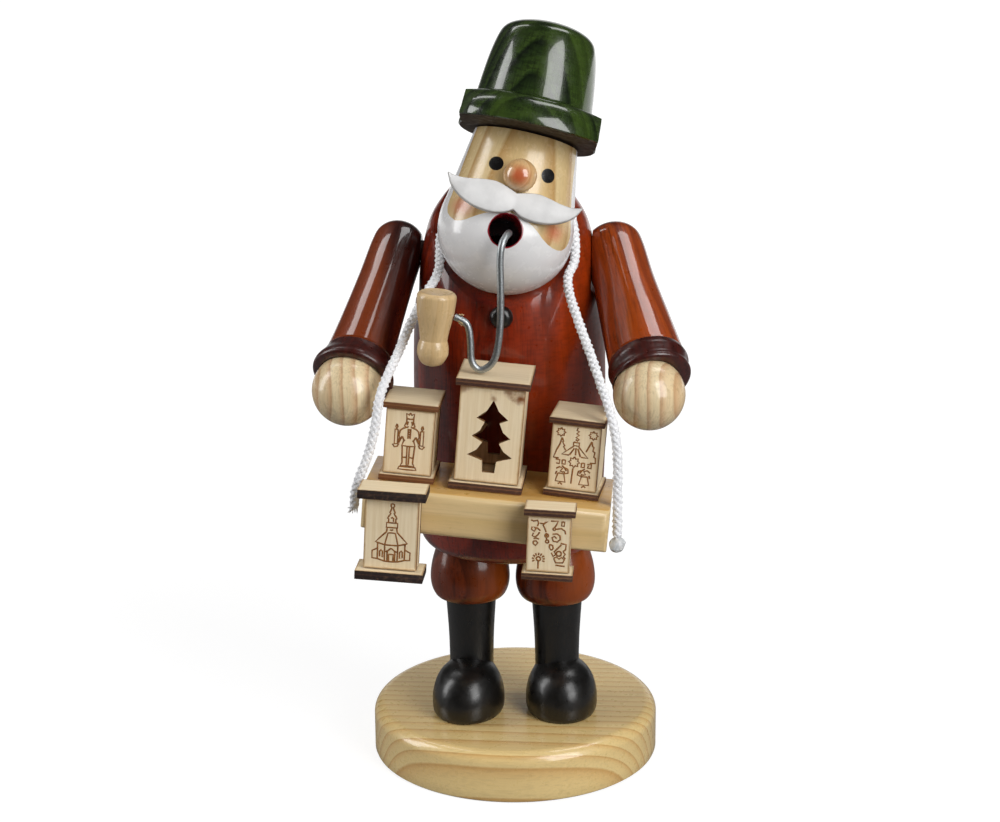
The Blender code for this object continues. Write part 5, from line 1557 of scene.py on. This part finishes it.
class SMOKER_OT_tray(bpy.types.Operator):
    """Tray board with its rounded front corners"""

    bl_idname = "smoker.tray"
    bl_label = "Tray"

    def execute(self, context):
        bm = block(TRAY_SIZE, (0, 0, 0))
        front = -TRAY_SIZE[1] / 2 + 0.01
        soften(bm, [e for e in bm.edges if all(v.co.y < front for v in e.verts)], 2.4, 8)
        sharp = [e for e in bm.edges if len(e.link_faces) == 2 and e.calc_face_angle() > radians(60)]
        soften(bm, sharp, 0.35, 3)
        look = dict(pith=(60.0, 40.0), ring=7.5, wobble=1.4, fibre=0.15,
                    stops=((0.0, "DDC290"), (0.5, "D9BC88"), (0.85, "D3B47C"), (1.0, "DCC08D")))
        # The top face is coloured a deeper amber than the edges
        honey = dict(look, stops=((0.0, "D3AA66"), (0.5, "CEA25B"), (0.85, "C2934B"), (1.0, "D1A762")))
        gloss = dict(rough=0.34, coat=0.25, coat_rough=0.2, depth=0.03)
        sides = wooden("tray_lacquered_pine", TRAY_FRAME @ ALONG_X, look, **gloss)
        face = wooden("tray_thick_lacquer", TRAY_FRAME @ ALONG_X, honey, **gloss)
        tray = new_object("tray_board", bm, TRAY_FRAME, [sides, face], 40)
        back = -COAT_RADIUS - GAP
        carve(tray, [(rod(TRAY_HOLE, (0, back + 4, TRAY_Z), (0, back - 8.3, TRAY_Z)), None, None)],
              smooth_angle=40)
        for polygon in tray.data.polygons:
            polygon.material_index = int(polygon.normal.z > 0.9)
        hand_over(tray, "coat", "pine", "tray")
        return {"FINISHED"}


class SMOKER_OT_lanterns(bpy.types.Operator):
    """Five plywood lanterns with their cut-out or engraved fronts"""

    bl_idname = "smoker.lanterns"
    bl_label = "Lanterns"

    def execute(self, context):
        line_finish = even("engraved_line", "laser_engraved_line")
        for name, size in LANTERNS.items():
            place, low = lantern_place(size)
            width, depth, plate, walls, lip = (size[k] for k in ("width", "depth", "plate", "walls", "lip"))
            middle = low + plate + GAP + walls / 2
            roof_low = low + plate + GAP + walls + GAP
            inner_width = width - 2 * lip
            front = -depth / 2 + lip
            back = depth / 2 - (GAP if "top" in size else lip)
            run = back - front - 2 * (SHEET + GAP)
            plates, face, plain, shaded_back = self.finishes(name, size, place @ moved(0, 0, middle))
            side_x = (inner_width - SHEET) / 2
            halfway = (front + back) / 2
            boards = {
                "floor": ((width, depth, plate), (0, 0, low + plate / 2), plates),
                "roof": ((width, depth, plate), (0, 0, roof_low + plate / 2), plates),
                "front": ((inner_width, SHEET, walls), (0, front + SHEET / 2, middle), face),
                "back": ((inner_width, SHEET, walls), (0, back - SHEET / 2, middle), shaded_back),
                "left_side": ((SHEET, run, walls), (-side_x, halfway, middle), plain),
                "right_side": ((SHEET, run, walls), (side_x, halfway, middle), plain),
            }
            for part, (board_size, centre, finishes) in boards.items():
                item = plywood_board(f"{name}_{part}_sheet", board_size, centre, place, finishes)
                if name == "middle" and part in ("front", "back"):
                    self.cut_tree(item, place @ moved(0, 0, middle), finishes[1])
                    self.mark_rim(item, place @ moved(*centre), inner_width / 2 - 0.5, walls / 2 - 0.5)
                hand_over(item, "coat", "plywood", f"{name}_lantern_{part}")
            if name in MOTIFS:
                lines = [[tuple(place @ Vector((x, front + LINE_SUNK, middle + z))) for x, z in line]
                         for line in MOTIFS[name]()]
                hand_over(tubes(f"{name}_engraving", lines, LINE_RADIUS, line_finish, 1), "coat", "plywood")
        return {"FINISHED"}

    def finishes(self, name, size, place):
        """Pairs of face and edge for the plates, the front, the sides and the back, whose darker veneer is
        painted shade inside the lantern.
        """
        birch = (place, True, "EBD8B6", "DFC8A0")
        face = veneer(f"{name}_panel_birch", *birch, TREE_STAINS if name == "middle" else ())
        plain = veneer(f"{name}_side_birch", *birch) if name == "middle" else face
        # The back's veneer is darker brown: painted shade inside the lantern
        shaded_back = veneer(f"{name}_back_birch", place, True, "BC9470", "9E7852")
        plate = veneer(f"{name}_plate_birch", place, False, "EEDCBA", "E2CCA4")
        edge = burnt_edge(f"{name}_burnt_edge", place, size["core"], size["outer"])
        thin_edge = burnt_edge(f"{name}_panel_edge", place, "5E3A20", "8A6236")
        return (plate, edge), (face, thin_edge), (plain, thin_edge), (shaded_back, thin_edge)

    def cut_tree(self, item, place, edge):
        outline = [(x + TREE_SHIFT, z) for x, z in [*TREE_HALF, *((-x, z) for x, z in TREE_HALF[:0:-1])]]
        carve(item, [(extrude_outline(outline, -40, 40), place @ turned("X", 90), edge)], smooth_angle=30)

    def mark_rim(self, item, place, reach_x, reach_z):
        """Only the board's outer edge is browned, not the rim of the cut tree."""
        back = back_to(place)
        for vertex, mark in zip(item.data.vertices, item.data.attributes["rim"].data):
            x, _, z = back @ vertex.co
            mark.value = float(abs(x) < reach_x and abs(z) < reach_z)


# Pipe

WIRE_RADIUS = 1.0
# The wire's straight end in the head's frame, from its blind hole behind the mouth to the lip
WIRE_SOCKET, WIRE_LIP = (0.05, 7.4, -2.1), (0.05, -17.2, -2.1)
WIRE_ROUTE = ((3.4, -45.4, 175.8), (2.4, -47.8, 174.4), (1.8, -48.8, 172.2), (1.5, -49.0, 168.2),
              (1.6, -49.0, 162.0), (1.5, -49.0, 152.8), (1.0, -49.0, 146.6), (0.1, -49.0, 141.8),
              (-1.5, -49.0, 139.0), (-4.0, -49.0, 137.6), (-5.9, -49.0, 138.6), (-6.9, -49.0, 141.2),
              (-7.0, -49.0, 145.0), (-7.3, -49.0, 148.7), (-8.3, -49.0, 151.2), (-11.4, -49.0, 152.9))
# Radii of the pipe bowl's ball foot, neck and mouth, and its height
BALL, NECK, BOWL, BOWL_TOP = 4.45, 3.85, 5.6, 21.6


class SMOKER_OT_pipe(bpy.types.Operator):
    """Turned pipe bowl on its bent steel wire"""

    bl_idname = "smoker.pipe"
    bl_label = "Pipe"

    def execute(self, context):
        end, lip = Vector(WIRE_SOCKET), Vector(WIRE_LIP)
        straight = [tuple(HEAD_FRAME @ end.lerp(lip, share)) for share in (0, 0.25, 0.5, 0.75, 1)]
        route = smooth_curve(straight + list(WIRE_ROUTE), 8)
        wire = tubes("bent_pipe_wire", [route], WIRE_RADIUS, even("sprung_steel", "zinc_plated_wire"), 5)
        hand_over(wire, "pipe", "steel_wire", "pipe_wire")

        lower = smooth_curve([(0, 0), (BALL * 0.62, 0.9), (BALL * 0.95, 3.2), (BALL, 5.2), (BALL * 0.93, 7.0),
                              (NECK, 7.8)], 6)
        upper = smooth_curve([(NECK + 0.1, 8.3), (NECK + 0.5, 11.0), (BOWL - 0.35, 15.5),
                              (BOWL, BOWL_TOP - 1.8), (BOWL - 0.25, BOWL_TOP - 0.6),
                              (BOWL - 1.0, BOWL_TOP)], 6)
        dip = smooth_curve([(BOWL - 1.0, BOWL_TOP), (BOWL - 2.4, BOWL_TOP - 0.25), (0, BOWL_TOP - 0.4)], 4)
        look = dict(pith=(24.0, 12.0), ring=3.2, wobble=1.0, fibre=0.2,
                    stops=((0.0, "D2B486"), (0.6, "CFB080"), (0.95, "C9A979"), (1.0, "D1B284")))
        finish = wooden("pipe_lacquered_birch", BOWL_FRAME, look, rough=0.3, coat=0.35, coat_rough=0.16,
                        depth=0.02)
        item = new_object("turned_pipe_bowl", lathe(lower + upper + dip[1:], 72), BOWL_FRAME, [finish], 35)
        tip, before = Vector(WIRE_ROUTE[-1]), Vector(WIRE_ROUTE[-2])
        along = (tip - before).normalized()
        carve(item, [(rod(WIRE_RADIUS + 0.3, tip + along * 0.3, before, 32), None, None)], smooth_angle=35)
        hand_over(item, "pipe", "pale_wood", "pipe_bowl")
        self.splinters(tip - along * 1.9, along, finish)
        return {"FINISHED"}

    def splinters(self, mouth, along, finish):
        """Fibres torn up round the drilled hole."""
        chance = random.Random(3)
        lines = []
        for _ in range(7):
            turn = chance.uniform(0, 2 * pi)
            out = Vector((0, cos(turn), sin(turn)))
            start = mouth + out * 1.35 + along * 0.5
            lines.append([tuple(start), tuple(start + out * 0.25 - along * chance.uniform(0.4, 1.0)),
                          tuple(start + out * 0.6 - along * chance.uniform(0.9, 1.6))])
        hand_over(tubes("hole_splinters", lines, 0.13, finish, 1), "pipe", "pale_wood")


# Panel and registration

ORDER = (SMOKER_OT_stage, SMOKER_OT_cord, SMOKER_OT_base, SMOKER_OT_legs, SMOKER_OT_coat, SMOKER_OT_head,
         SMOKER_OT_hat, SMOKER_OT_arms, SMOKER_OT_tray, SMOKER_OT_lanterns, SMOKER_OT_pipe)
GROUPS = {"smoker_stage": SmokerStageSettings, "smoker_wood": SmokerWoodSettings,
          "smoker_cord": SmokerCordSettings}


class SMOKER_PT_pieces(bpy.types.Panel):
    """Lists the figure's settings and pieces"""

    bl_idname = "SMOKER_PT_pieces"
    bl_label = "Smoker figure"
    bl_space_type = "VIEW_3D"
    bl_region_type = "UI"
    bl_category = "Smoker"

    def draw(self, context):
        for group in GROUPS:
            settings = getattr(context.scene, group)
            for name in settings.bl_rna.properties.keys():
                if name not in ("rna_type", "name"):
                    self.layout.prop(settings, name)
        for piece in ORDER:
            self.layout.operator(piece.bl_idname)


CLASSES = (*GROUPS.values(), *ORDER, SMOKER_PT_pieces)


def register():
    for kind in CLASSES:
        bpy.utils.register_class(kind)
    for name, kind in GROUPS.items():
        setattr(bpy.types.Scene, name, PointerProperty(type=kind))


def unregister():
    for name in GROUPS:
        delattr(bpy.types.Scene, name)
    for kind in reversed(CLASSES):
        bpy.utils.unregister_class(kind)


def main():
    register()
    for piece in ORDER:
        group, name = piece.bl_idname.split(".")
        getattr(getattr(bpy.ops, group), name)()


if __name__ == "__main__":
    main()
